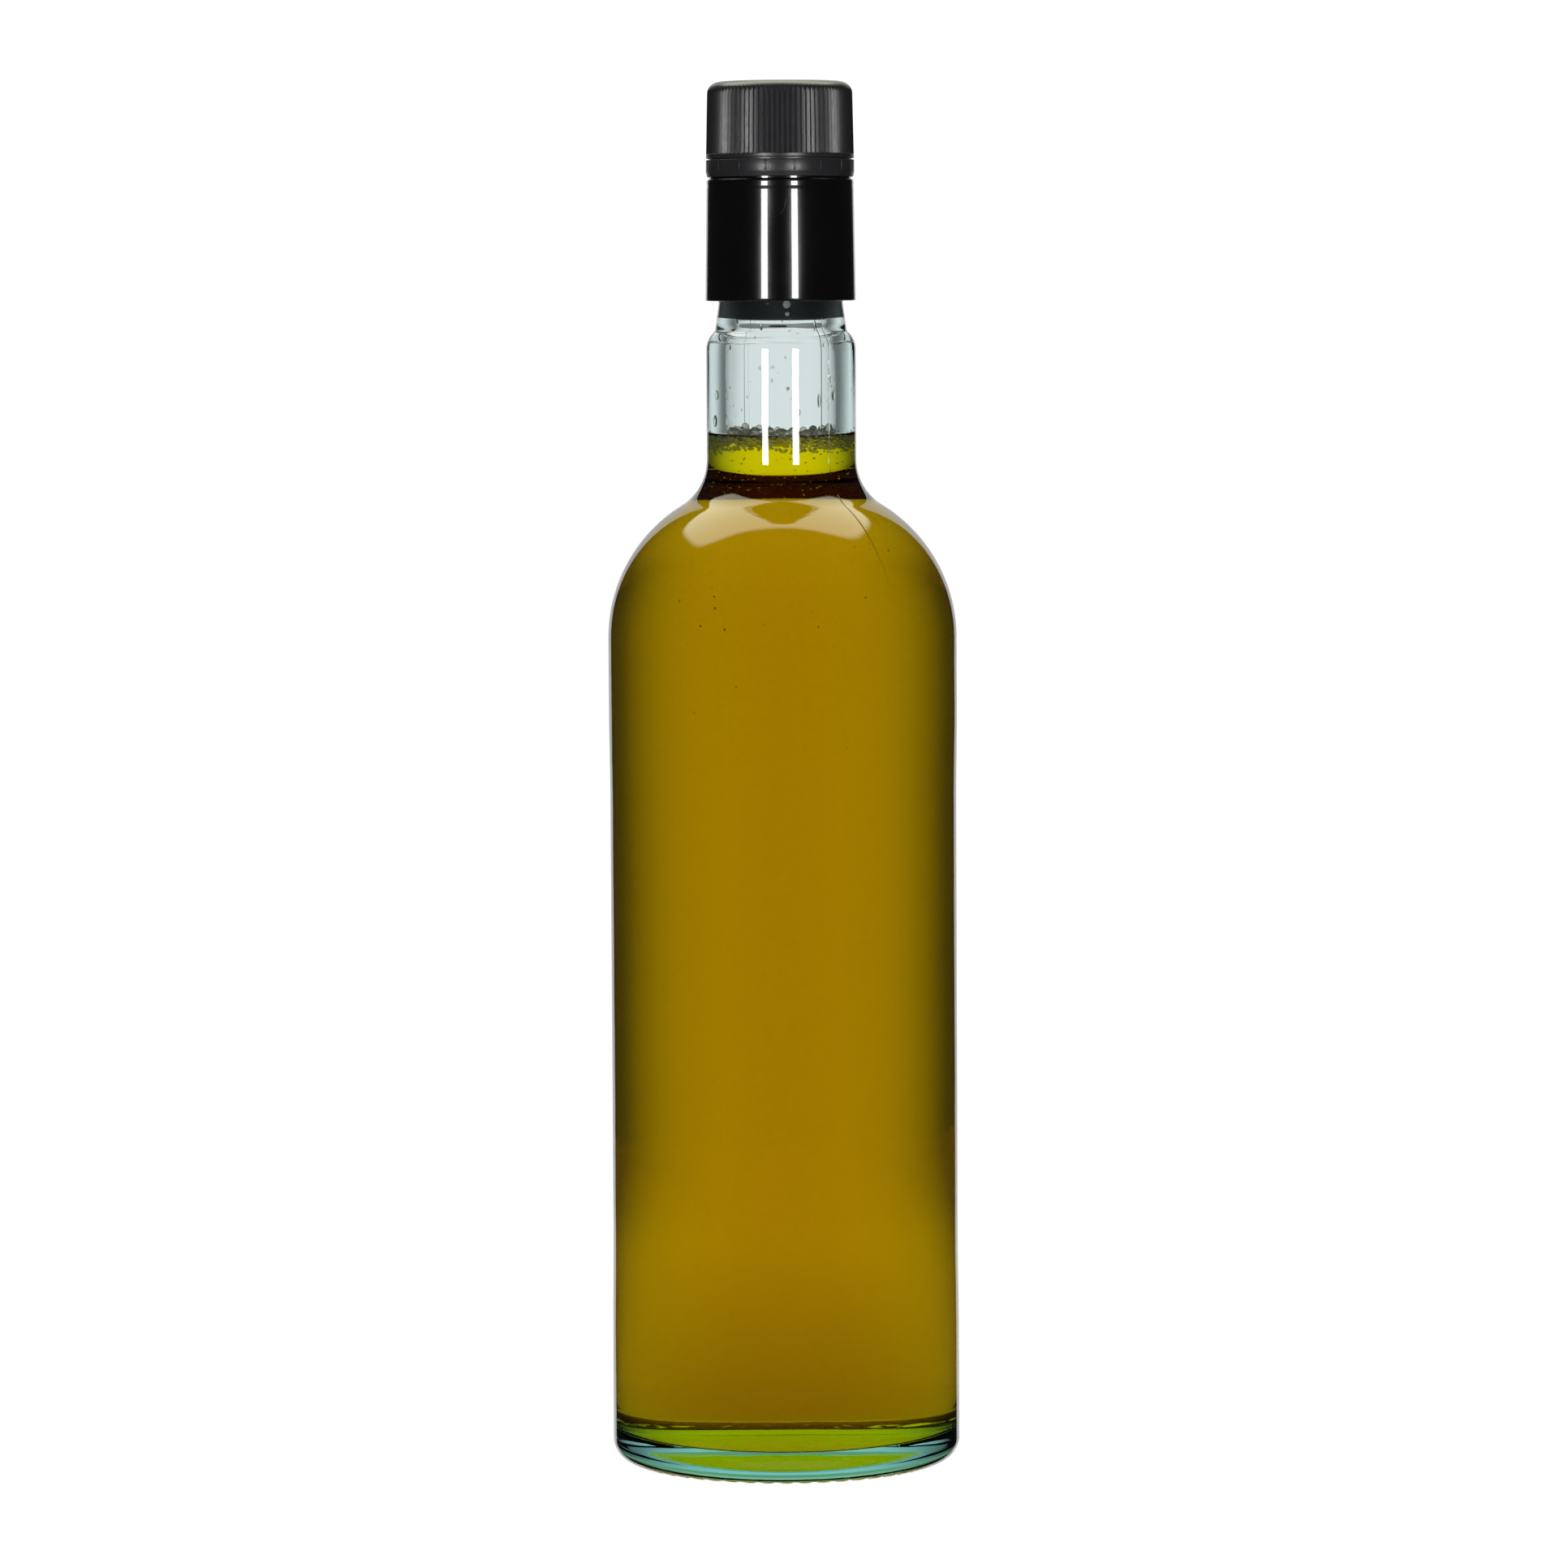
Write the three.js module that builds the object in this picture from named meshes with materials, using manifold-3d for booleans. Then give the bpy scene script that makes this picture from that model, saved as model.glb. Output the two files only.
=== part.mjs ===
// A 750 ml round glass bottle of olive oil with a black non-refillable pouring closure.
//
// Millimetres, +Z up. The origin is the centre of the ring that the bottle stands on.
// From the bench upwards: glass bottle and its oil, then the closure. The closure is a valve
// cage that hangs in the bore, a pour fitment clamped on the glass lip by an outer sleeve,
// a soft spout, a tamper band, and a screw cap with its liner.

import * as THREE from "three";
import { mergeVertices } from "three/addons/utils/BufferGeometryUtils.js";
import Module from "manifold-3d";

const wasm = await Module();
wasm.setup();

// ---------------------------------------------------------------- driving dimensions

const TURN = 2 * Math.PI;
const GAP = 0.3; // between two solids that touch on the real object

// Glass body
const BODY_R = 38.0; // at the two contact bands, which take the knocks on a filling line
const PANEL_RECESS = 0.2; // the label panel lies this far under the contact bands
const LOWER_BAND_TOP = 27;
const PANEL_LOW = 52;
const PANEL_TO_SHOULDER = 36.4;
const UPPER_BAND_HEIGHT = 14.4;
const SHOULDER_Z = 180.4; // top of the straight wall
const SHOULDER_ARC_R = 33.8;
const THROAT_ARC_R = 11.7; // the hollow curve between shoulder and neck
const HEEL_ARC_R = 4.6;
const STAND_RING_WIDTH = 3.9; // flat ring under the base
const PUNT_RISE = 3.4; // push-up under the base

// Glass wall
const BODY_WALL = 2.85;
const THROAT_WALL = 3.9;
const NECK_WALL = 4.27;
const FLOOR_Z = 6.6; // inside floor at its rim
const FLOOR_RISE = 1.8; // inside floor at its middle, above its rim
const INNER_HEEL_R = 5;

// Neck and finish
const NECK_R = 16.27;
const NECK_LENGTH = 23.85; // the straight part
const NECK_STEP_R = 4.95; // rounding at the top of the wide neck
const NECK_STEP_TURN = 52; // degrees of that rounding
const FINISH_HEIGHT = 32.75; // from the top of the wide neck to the lip
const MOUTH_BORE_R = 10.0;
const MOUTH_BORE_LENGTH = 26.5;
const FINISH_FOOT_R = 13.48; // at the sleeve's lower edge
const GROOVE_R = 13.1; // under the retaining bead
const BEAD_R = 14.1;
const BEAD_HEIGHT = 3.6;
const BEAD_BELOW_LIP = 12.6; // top of the bead to the glass lip
const LIP_R = 13.2;
const LIP_ROUND = 0.9;

// Oil
const FILL_BELOW_NECK_TOP = 18.6;

// Closure, from the glass lip up
const GASKET_THICK = 0.8;
const FLANGE_THICK = 1.2;
const FLANGE_OVERLAP = 0.6; // how far the sleeve's top reaches over the fitment's flange
const SLEEVE_TOP_THICK = 1.2;
const SLEEVE_LENGTH = 26.4;
const SLEEVE_WALL = 1.27; // at the top
const SLEEVE_FLARE = 0.39; // draft of the outside over the length
const SLEEVE_CLEARANCE = 0.6; // round the widest thing that the sleeve passes over
const SLEEVE_ROUND = 1.0;
const TOOTH_COUNT = 8;
const TOOTH_SLOT = 3.0;
const TOOTH_HEIGHT = 2.2;

const POUR_NECK_R = 12.6; // outside of the fitment, at the root of its thread
const POUR_NECK_WALL = 1.4;
const POUR_NECK_LENGTH = 14.0; // above the flange
const SKIRT_WALL = 1.1; // the fitment's lower tube, which slips into the valve cage
const SKIRT_LENGTH = 11.2;

const THREAD_PITCH = 4.0; // single start
const THREAD_HEIGHT = 0.9;
const THREAD_CLEARANCE = 0.4; // crest to root
const THREAD_HALF_ROOT = 0.75;
const THREAD_HALF_CREST = 0.45;
const POUR_THREAD_TURNS = 1.25;
const CAP_THREAD_TURNS = 1.0;
const POUR_THREAD_START = 4; // degrees, where each thread begins
const CAP_THREAD_START = 154;

const CAP_HEIGHT = 16.6;
const CAP_WALL = 1.65; // from the thread's root to the body under the knurl
const CAP_DRAFT = 0.35;
const CAP_ROUND = 1.5;
const CAP_TOP_THICK = 1.9;
const CAP_RIM_WIDTH = 3.7; // round the dish in the cap's top
const CAP_DISH_DEPTH = 0.4;
const KNURL_COUNT = 90;
const KNURL_DEPTH = 0.4;
const KNURL_FOOT = 0.9; // plain rim under the knurl

const BAND_HEIGHT = 3.7;
const BAND_PROUD = 0.12; // past the foot of the cap
const BAND_BEVEL = 0.3;
const BAND_CLEARANCE = 0.4; // from the sleeve, so that a broken band can drop
const BRIDGE_COUNT = 16;
const BRIDGE_WIDTH = 0.5;
const BRIDGE_PROUD = 0.08;

const LINER_THICK = 1.0;
const PLUG_RING_THICK = 1.0;
const PLUG_RING_LENGTH = 6.4;

const SPOUT_WALL = 1.1;
const SPOUT_LIP_CLEARANCE = 0.6; // drip lip to the inside of the fitment's neck
const SPOUT_LIP_FLARE = 3.6;

// Non-return valve
const CAGE_CLEARANCE = 0.6; // from the glass bore, which the cage's fins bridge
const CAGE_WALL = 1.1;
const FIN_COUNT = 3;
const FIN_PITCH = 2.8;
const CAGE_LENGTH = 25.9;
const CAGE_TOP_CLEARANCE = 2.2; // under the fitment's flange
const SEAT_THICK = 1.5;
const SEAT_WIDTH = 2.4; // how far the disc laps over the seat
const VALVE_SIDE_CLEARANCE = 1.7; // the oil's way past the disc
const VALVE_THICK = 1.5;
const VALVE_TRAVEL = 2.5;
const BALL_SIDE_CLEARANCE = 1.7; // the oil's way past the ball
const BALL_TRAVEL = 3.0;
const GUIDE_THICK = 1.8;

// Facets round a full turn
const GLASS_SIDES = 36;
const CLOSURE_SIDES = 36;
const SMALL_SIDES = 24;

// ---------------------------------------------------------------- sizes worked out from those

// Height of two tangent arcs that lead from a body radius up to a neck radius.
function shoulderRise(bodyR, neckR, bulgeR, throatR) {
  const across = neckR + throatR - (bodyR - bulgeR);
  return Math.sqrt((bulgeR + throatR) ** 2 - across ** 2);
}

const NECK_BORE_R = NECK_R - NECK_WALL;
const NECK_FOOT_Z = SHOULDER_Z + shoulderRise(BODY_R, NECK_R, SHOULDER_ARC_R, THROAT_ARC_R);
const NECK_TOP_Z = NECK_FOOT_Z + NECK_LENGTH;
const GLASS_TOP_Z = NECK_TOP_Z + FINISH_HEIGHT;
const FILL_Z = NECK_TOP_Z - FILL_BELOW_NECK_TOP;
const BEAD_TOP_Z = GLASS_TOP_Z - BEAD_BELOW_LIP;
const BEAD_FOOT_Z = BEAD_TOP_Z - BEAD_HEIGHT;
const TOOTH_TOP_Z = BEAD_FOOT_Z - GAP;

const THREAD_CREST_R = POUR_NECK_R + THREAD_HEIGHT;
const SLEEVE_BORE_R = Math.max(BEAD_R, THREAD_CREST_R + FLANGE_OVERLAP) + SLEEVE_CLEARANCE;
const SLEEVE_TOP_R = SLEEVE_BORE_R + SLEEVE_WALL;
const SLEEVE_FOOT_R = SLEEVE_TOP_R + SLEEVE_FLARE;
const FLANGE_R = SLEEVE_BORE_R - GAP;
const POUR_NECK_BORE_R = POUR_NECK_R - POUR_NECK_WALL;
const CAP_BORE_R = THREAD_CREST_R + THREAD_CLEARANCE;
const CAP_THREAD_CREST_R = CAP_BORE_R - THREAD_HEIGHT;
const CAP_FOOT_R = CAP_BORE_R + CAP_WALL + KNURL_DEPTH + 0.1;
const CAP_TOP_R = CAP_FOOT_R - CAP_DRAFT;
const CAP_DISH_R = CAP_TOP_R - CAP_RIM_WIDTH;
const BAND_R = CAP_FOOT_R + BAND_PROUD;

const CAGE_R = MOUTH_BORE_R - CAGE_CLEARANCE;
const CAGE_BORE_R = CAGE_R - CAGE_WALL;
const SKIRT_R = CAGE_BORE_R - GAP;
const SKIRT_BORE_R = SKIRT_R - SKIRT_WALL;
const SPOUT_BORE_R = SKIRT_BORE_R + 0.1;
const SPOUT_LIP_R = POUR_NECK_BORE_R - SPOUT_LIP_CLEARANCE;
const VALVE_R = CAGE_BORE_R - VALVE_SIDE_CLEARANCE;
const SEAT_HOLE_R = VALVE_R - SEAT_WIDTH;
const BALL_R = SKIRT_BORE_R - BALL_SIDE_CLEARANCE;

const GASKET_Z = GLASS_TOP_Z + GAP;
const FLANGE_Z = GASKET_Z + GASKET_THICK + GAP;
const FLANGE_TOP_Z = FLANGE_Z + FLANGE_THICK;
const LEDGE_Z = FLANGE_TOP_Z - 0.5; // where the spout sits inside the fitment
const SLEEVE_TOP_Z = FLANGE_TOP_Z + GAP + SLEEVE_TOP_THICK;
const SLEEVE_FOOT_Z = SLEEVE_TOP_Z - SLEEVE_LENGTH;
const BAND_FOOT_Z = SLEEVE_TOP_Z + BAND_CLEARANCE;
const BAND_TOP_Z = BAND_FOOT_Z + BAND_HEIGHT;
const CAP_FOOT_Z = BAND_TOP_Z + GAP;
const CAP_TOP_Z = CAP_FOOT_Z + CAP_HEIGHT;
const POUR_NECK_TOP_Z = FLANGE_TOP_Z + POUR_NECK_LENGTH;
const THREAD_START_Z = CAP_FOOT_Z + THREAD_HALF_ROOT + 0.55;
const THREAD_DROP = 2 * THREAD_HALF_ROOT + GAP; // cap thread under the fitment's thread
const LINER_TOP_Z = CAP_TOP_Z - CAP_TOP_THICK - GAP;
const LINER_FOOT_Z = LINER_TOP_Z - LINER_THICK;
const SPOUT_TOP_Z = LINER_FOOT_Z - 0.5;
const CAGE_TOP_Z = FLANGE_Z - CAGE_TOP_CLEARANCE;
const CAGE_FOOT_Z = CAGE_TOP_Z - CAGE_LENGTH;
const SEAT_TOP_Z = CAGE_FOOT_Z + SEAT_THICK;
const VALVE_FOOT_Z = SEAT_TOP_Z + GAP;
const VALVE_TOP_Z = VALVE_FOOT_Z + VALVE_THICK;
const BALL_Z = VALVE_TOP_Z + GAP + BALL_R;
const GUIDE_FOOT_Z = BALL_Z + BALL_R + VALVE_TRAVEL + BALL_TRAVEL + GAP + 0.2;

// ---------------------------------------------------------------- shape helpers

const point = (r, z) => new THREE.Vector2(r, z);
const radians = THREE.MathUtils.degToRad;

// Points on a circle in the section plane, from one angle to another, ends included.
function arc(centreR, centreZ, radius, fromDegrees, toDegrees, steps) {
  const points = [];
  for (let i = 0; i <= steps; i++) {
    const a = radians(fromDegrees + ((toDegrees - fromDegrees) * i) / steps);
    points.push(point(centreR + radius * Math.cos(a), centreZ + radius * Math.sin(a)));
  }
  return points;
}

// A shallow dome from the axis out to a rim, as a parabola.
function dome(rimR, rimZ, rise, steps) {
  const points = [];
  for (let i = 0; i <= steps; i++) {
    const r = (rimR * i) / steps;
    points.push(point(r, rimZ + rise * (1 - (r / rimR) ** 2)));
  }
  return points;
}

// A smooth step in radius between two heights, ends included.
function ease(fromR, fromZ, toR, toZ, steps) {
  const points = [];
  for (let i = 0; i <= steps; i++) {
    const t = i / steps;
    const s = t * t * (3 - 2 * t);
    points.push(point(fromR + (toR - fromR) * s, fromZ + (toZ - fromZ) * t));
  }
  return points;
}

// The shoulder: a bulging arc that runs tangent into the hollow throat arc, and so into the neck.
function shoulder(bodyR, neckR, bulgeR, throatR, steps) {
  const across = neckR + throatR - (bodyR - bulgeR);
  const up = shoulderRise(bodyR, neckR, bulgeR, throatR);
  const meet = THREE.MathUtils.radToDeg(Math.atan2(up, across));
  const bulge = arc(bodyR - bulgeR, SHOULDER_Z, bulgeR, 0, meet, steps);
  const throat = arc(neckR + throatR, SHOULDER_Z + up, throatR, 180 + meet, 180, steps / 2);
  return [...bulge, ...throat.slice(1)];
}

// Turns a profile of (radius, height) points about Z.
// It either starts and ends on the axis, or closes on itself.
function turned(profile, sides) {
  return new THREE.LatheGeometry(profile, sides).rotateX(Math.PI / 2);
}

function ring(profile, sides) {
  return turned([...profile, profile[0].clone()], sides);
}

// A plain tube between two radii and two heights.
function tube(innerR, outerR, low, high, sides) {
  return ring([point(innerR, low), point(outerR, low), point(outerR, high), point(innerR, high)], sides);
}

function solid(geometry) {
  const bare = geometry.index ? geometry.toNonIndexed() : geometry.clone();
  bare.deleteAttribute("normal");
  bare.deleteAttribute("uv");
  const merged = mergeVertices(bare, 1e-4);
  const mesh = new wasm.Mesh({
    numProp: 3,
    vertProperties: merged.attributes.position.array,
    triVerts: new Uint32Array(merged.index.array),
  });
  return new wasm.Manifold(mesh);
}

function geometryOf(manifold) {
  const mesh = manifold.getMesh();
  const geometry = new THREE.BufferGeometry();
  geometry.setAttribute("position", new THREE.BufferAttribute(mesh.vertProperties, 3));
  geometry.setIndex(new THREE.BufferAttribute(mesh.triVerts, 1));
  return geometry;
}

// One helical ridge of trapezium section with both ends run out to nothing.
// rootR is just inside the wall it stands on; crestR may lie on either side of rootR.
function threadRidge(rootR, crestR, startDegrees, startZ, turns) {
  const stepsPerTurn = 24;
  const steps = Math.round(turns * stepsPerTurn);
  const runOut = 3;
  const corners = [];
  for (let i = 0; i <= steps; i++) {
    const height = Math.min(1, (i + 0.2) / runOut, (steps - i + 0.2) / runOut);
    const angle = radians(startDegrees) + (TURN * i) / stepsPerTurn;
    const z = startZ + (THREAD_PITCH * i) / stepsPerTurn;
    const tipR = rootR + (crestR - rootR) * height;
    for (const [r, dz] of [
      [rootR, -THREAD_HALF_ROOT],
      [tipR, -THREAD_HALF_CREST],
      [tipR, THREAD_HALF_CREST],
      [rootR, THREAD_HALF_ROOT],
    ])
      corners.push(r * Math.cos(angle), r * Math.sin(angle), z + dz);
  }
  const faces = [];
  for (let i = 0; i < steps; i++)
    for (let k = 0; k < 4; k++) {
      const a = 4 * i + k;
      const b = 4 * i + ((k + 1) % 4);
      faces.push(a, a + 4, b, b, a + 4, b + 4);
    }
  const last = 4 * steps;
  faces.push(0, 1, 2, 0, 2, 3, last, last + 2, last + 1, last, last + 3, last + 2);
  if (crestR < rootR) faces.reverse();
  const geometry = new THREE.BufferGeometry();
  geometry.setAttribute("position", new THREE.Float32BufferAttribute(corners, 3));
  geometry.setIndex(faces);
  return geometry;
}

// A box standing across a radius, from one radius to another, turned to an angle.
function radialBar(fromR, toR, width, low, high, angle) {
  const bar = new THREE.BoxGeometry(toR - fromR, width, high - low);
  bar.translate((fromR + toR) / 2, 0, (low + high) / 2);
  return bar.rotateZ(angle);
}

function piece(name, geometry, material) {
  const mesh = new THREE.Mesh(geometry, material);
  mesh.name = name;
  return mesh;
}

// ---------------------------------------------------------------- materials

const finish = (color, roughness, metalness = 0) =>
  new THREE.MeshStandardMaterial({ color, roughness, metalness });

const clearGlass = finish(0xc4dcd6, 0.05);
const oliveOil = finish(0x9a7400, 0.1);
const glossBlack = finish(0x0c0c0e, 0.18);
const satinBlack = finish(0x17171a, 0.4);
const naturalPlastic = finish(0xd9d6c8, 0.45);
const softSeal = finish(0xe6e3da, 0.6);
const ballGlass = finish(0xb8c8c4, 0.08);

// ---------------------------------------------------------------- glass bottle and oil

// The inside of the glass from the middle of the floor up to the start of the mouth's bore.
// A gap above zero gives the outline of something that fills it with that clearance.
function cavity(gap) {
  const bodyR = BODY_R - BODY_WALL - gap;
  const heelR = INNER_HEEL_R - gap;
  const floor = dome(bodyR - heelR, FLOOR_Z + gap, FLOOR_RISE, 3);
  const heel = arc(bodyR - heelR, FLOOR_Z + gap + heelR, heelR, -90, 0, 3);
  const bulgeR = SHOULDER_ARC_R - BODY_WALL - gap;
  const rise = shoulder(bodyR, NECK_BORE_R - gap, bulgeR, THROAT_ARC_R + THROAT_WALL + gap, 6);
  return [...floor, ...heel.slice(1), ...rise];
}

function glassProfile() {
  const standInnerR = BODY_R - HEEL_ARC_R - STAND_RING_WIDTH;
  const panelR = BODY_R - PANEL_RECESS;
  const stepTurn = radians(NECK_STEP_TURN);
  const stepTopR = NECK_R - NECK_STEP_R * (1 - Math.cos(stepTurn));
  const boreFootZ = GLASS_TOP_Z - MOUTH_BORE_LENGTH;
  const outside = [
    ...dome(standInnerR, 0, PUNT_RISE, 3),
    ...arc(BODY_R - HEEL_ARC_R, HEEL_ARC_R, HEEL_ARC_R, -90, 0, 4),
    ...ease(BODY_R, LOWER_BAND_TOP, panelR, PANEL_LOW, 2),
    ...ease(panelR, SHOULDER_Z - PANEL_TO_SHOULDER, BODY_R, SHOULDER_Z - UPPER_BAND_HEIGHT, 2),
    ...shoulder(BODY_R, NECK_R, SHOULDER_ARC_R, THROAT_ARC_R, 8),
    ...arc(NECK_R - NECK_STEP_R, NECK_TOP_Z, NECK_STEP_R, 0, NECK_STEP_TURN, 3),
  ];
  const finishSide = [
    point(stepTopR - 0.05, NECK_TOP_Z + NECK_STEP_R * Math.sin(stepTurn) + 0.15),
    point(FINISH_FOOT_R, SLEEVE_FOOT_Z),
    point(GROOVE_R, TOOTH_TOP_Z - TOOTH_HEIGHT - 0.3),
    point(GROOVE_R, BEAD_FOOT_Z),
    point(BEAD_R, BEAD_FOOT_Z + 0.8),
    point(BEAD_R, BEAD_TOP_Z - 0.9),
    point(LIP_R, BEAD_TOP_Z),
    ...arc(LIP_R - LIP_ROUND, GLASS_TOP_Z - LIP_ROUND, LIP_ROUND, 0, 90, 2),
    ...arc(MOUTH_BORE_R + LIP_ROUND, GLASS_TOP_Z - LIP_ROUND, LIP_ROUND, 90, 180, 2),
    ...ease(MOUTH_BORE_R, boreFootZ, NECK_BORE_R, NECK_TOP_Z, 2),
  ];
  return [...outside, ...finishSide, ...cavity(0).reverse()];
}

function oilProfile() {
  const below = cavity(GAP).filter((p) => p.y < FILL_Z);
  return [...below, point(NECK_BORE_R - GAP, FILL_Z), point(0, FILL_Z)];
}

// ---------------------------------------------------------------- closure, fixed pieces

function sleeveGeometry() {
  const roundZ = SLEEVE_TOP_Z - SLEEVE_ROUND;
  const shell = ring(
    [
      point(SLEEVE_BORE_R, SLEEVE_FOOT_Z),
      point(SLEEVE_FOOT_R, SLEEVE_FOOT_Z),
      ...arc(SLEEVE_TOP_R - SLEEVE_ROUND, roundZ, SLEEVE_ROUND, 0, 90, 3),
      point(THREAD_CREST_R + GAP, SLEEVE_TOP_Z),
      point(THREAD_CREST_R + GAP, SLEEVE_TOP_Z - SLEEVE_TOP_THICK),
      point(SLEEVE_BORE_R, SLEEVE_TOP_Z - SLEEVE_TOP_THICK),
    ],
    CLOSURE_SIDES,
  );
  const toothFootZ = TOOTH_TOP_Z - TOOTH_HEIGHT;
  const toothTipR = GROOVE_R + GAP;
  const wallR = (SLEEVE_BORE_R + SLEEVE_TOP_R) / 2;
  let teeth = solid(tube(toothTipR, wallR, toothFootZ, TOOTH_TOP_Z, CLOSURE_SIDES));
  const slotEndR = SLEEVE_BORE_R - 0.05;
  for (let i = 0; i < TOOTH_COUNT; i++) {
    const angle = (TURN * (i + 0.5)) / TOOTH_COUNT;
    const slot = radialBar(toothTipR - 1, slotEndR, TOOTH_SLOT, toothFootZ - 1, TOOTH_TOP_Z + 1, angle);
    teeth = teeth.subtract(solid(slot));
  }
  return geometryOf(solid(shell).add(teeth));
}

function fitmentGeometry() {
  const body = ring(
    [
      point(SKIRT_BORE_R, FLANGE_Z - SKIRT_LENGTH),
      point(SKIRT_R, FLANGE_Z - SKIRT_LENGTH),
      point(SKIRT_R, FLANGE_Z),
      point(FLANGE_R, FLANGE_Z),
      point(FLANGE_R, FLANGE_TOP_Z),
      point(POUR_NECK_R, FLANGE_TOP_Z),
      point(POUR_NECK_R, BAND_FOOT_Z + 1.5),
      point(THREAD_CREST_R, BAND_FOOT_Z + 1.9),
      point(THREAD_CREST_R, BAND_FOOT_Z + 2.2),
      point(POUR_NECK_R, BAND_FOOT_Z + 2.9),
      point(POUR_NECK_R, POUR_NECK_TOP_Z - 0.4),
      point(POUR_NECK_R - 0.4, POUR_NECK_TOP_Z),
      point(POUR_NECK_BORE_R, POUR_NECK_TOP_Z),
      point(POUR_NECK_BORE_R, LEDGE_Z),
      point(SKIRT_BORE_R, LEDGE_Z),
    ],
    CLOSURE_SIDES,
  );
  const rootR = POUR_NECK_R - GAP;
  const turns = POUR_THREAD_TURNS;
  const ridge = threadRidge(rootR, THREAD_CREST_R, POUR_THREAD_START, THREAD_START_Z, turns);
  return geometryOf(solid(body).add(solid(ridge)));
}

function spoutGeometry() {
  const footZ = LEDGE_Z + GAP;
  const boreR = SPOUT_BORE_R;
  const flareZ = SPOUT_TOP_Z - SPOUT_LIP_FLARE;
  const tipThick = 0.6;
  return ring(
    [
      point(boreR, footZ),
      point(POUR_NECK_BORE_R - GAP, footZ),
      point(POUR_NECK_BORE_R - GAP, footZ + 1.2),
      point(boreR + SPOUT_WALL, footZ + 1.6),
      ...ease(boreR + SPOUT_WALL, flareZ, SPOUT_LIP_R, SPOUT_TOP_Z - tipThick, 3),
      point(SPOUT_LIP_R, SPOUT_TOP_Z),
      ...ease(SPOUT_LIP_R - 0.7, SPOUT_TOP_Z, boreR, flareZ, 3),
    ],
    CLOSURE_SIDES,
  );
}

function cageGeometry() {
  const finR = MOUTH_BORE_R - GAP;
  const fins = [];
  for (let i = FIN_COUNT; i > 0; i--) {
    const z = CAGE_TOP_Z - FIN_PITCH * i;
    fins.push(point(CAGE_R, z), point(finR, z + 0.2), point(finR, z + 0.6), point(CAGE_R, z + 0.9));
  }
  return ring(
    [
      point(SEAT_HOLE_R, CAGE_FOOT_Z),
      point(CAGE_R - 0.6, CAGE_FOOT_Z),
      point(CAGE_R, CAGE_FOOT_Z + 0.6),
      ...fins,
      point(CAGE_R, CAGE_TOP_Z),
      point(CAGE_BORE_R, CAGE_TOP_Z),
      point(CAGE_BORE_R, SEAT_TOP_Z),
      point(SEAT_HOLE_R, SEAT_TOP_Z),
    ],
    CLOSURE_SIDES,
  );
}

// A disc with a dome that the ball stops against, and four windows for the oil.
function guideGeometry() {
  const outerR = SKIRT_BORE_R - GAP;
  const topZ = GUIDE_FOOT_Z + GUIDE_THICK;
  const hubR = 2.4;
  const rimThick = 1.2;
  const disc = turned(
    [
      point(0, GUIDE_FOOT_Z),
      point(outerR, GUIDE_FOOT_Z),
      point(outerR, topZ),
      point(hubR, topZ),
      point(0, topZ + 0.8),
    ],
    SMALL_SIDES,
  );
  const window = tube(hubR, outerR - rimThick, GUIDE_FOOT_Z - 1, topZ + 1, SMALL_SIDES);
  const spokeWidth = 1.2;
  let openings = solid(window);
  for (let i = 0; i < 4; i++) {
    const spoke = radialBar(0, outerR, spokeWidth, GUIDE_FOOT_Z - 2, topZ + 2, (TURN * i) / 4);
    openings = openings.subtract(solid(spoke));
  }
  return geometryOf(solid(disc).subtract(openings));
}

// ---------------------------------------------------------------- closure, moving pieces

// Disc valve: a nose in the seat's hole and a raised rim that keeps the ball in the middle.
function valveProfile() {
  const noseR = SEAT_HOLE_R - 0.6;
  const noseZ = VALVE_FOOT_Z - SEAT_THICK;
  const rimR = BALL_R + 0.7;
  return [
    point(0, noseZ),
    point(noseR - 0.4, noseZ),
    point(noseR, noseZ + 0.4),
    point(noseR, VALVE_FOOT_Z),
    point(VALVE_R, VALVE_FOOT_Z),
    point(VALVE_R, VALVE_TOP_Z),
    point(rimR, VALVE_TOP_Z),
    point(rimR, VALVE_TOP_Z + 2),
    point(rimR - 0.8, VALVE_TOP_Z + 2),
    point(rimR - 0.8, VALVE_TOP_Z),
    point(0, VALVE_TOP_Z),
  ];
}

function bandGeometry() {
  const ribR = POUR_NECK_R + GAP;
  const shell = ring(
    [
      point(ribR, BAND_FOOT_Z + 0.3),
      point(CAP_BORE_R, BAND_FOOT_Z),
      point(BAND_R - BAND_BEVEL, BAND_FOOT_Z),
      point(BAND_R, BAND_FOOT_Z + 2 * BAND_BEVEL),
      point(BAND_R, BAND_TOP_Z),
      point(CAP_BORE_R, BAND_TOP_Z),
      point(CAP_BORE_R, BAND_FOOT_Z + 1.3),
      point(ribR, BAND_FOOT_Z + 1.1),
    ],
    CLOSURE_SIDES,
  );
  let band = solid(shell);
  for (let i = 0; i < BRIDGE_COUNT; i++) {
    const angle = (TURN * (i + 0.5)) / BRIDGE_COUNT;
    const tipR = BAND_R + BRIDGE_PROUD;
    band = band.add(solid(radialBar(BAND_R - 1, tipR, BRIDGE_WIDTH, BAND_FOOT_Z + 1.2, BAND_TOP_Z, angle)));
  }
  return geometryOf(band);
}

// Radius of the cap's outside at a height, on the knurl's crests.
function capCrestR(z) {
  return CAP_FOOT_R + ((CAP_TOP_R - CAP_FOOT_R) * (z - CAP_FOOT_Z)) / CAP_HEIGHT;
}

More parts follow.
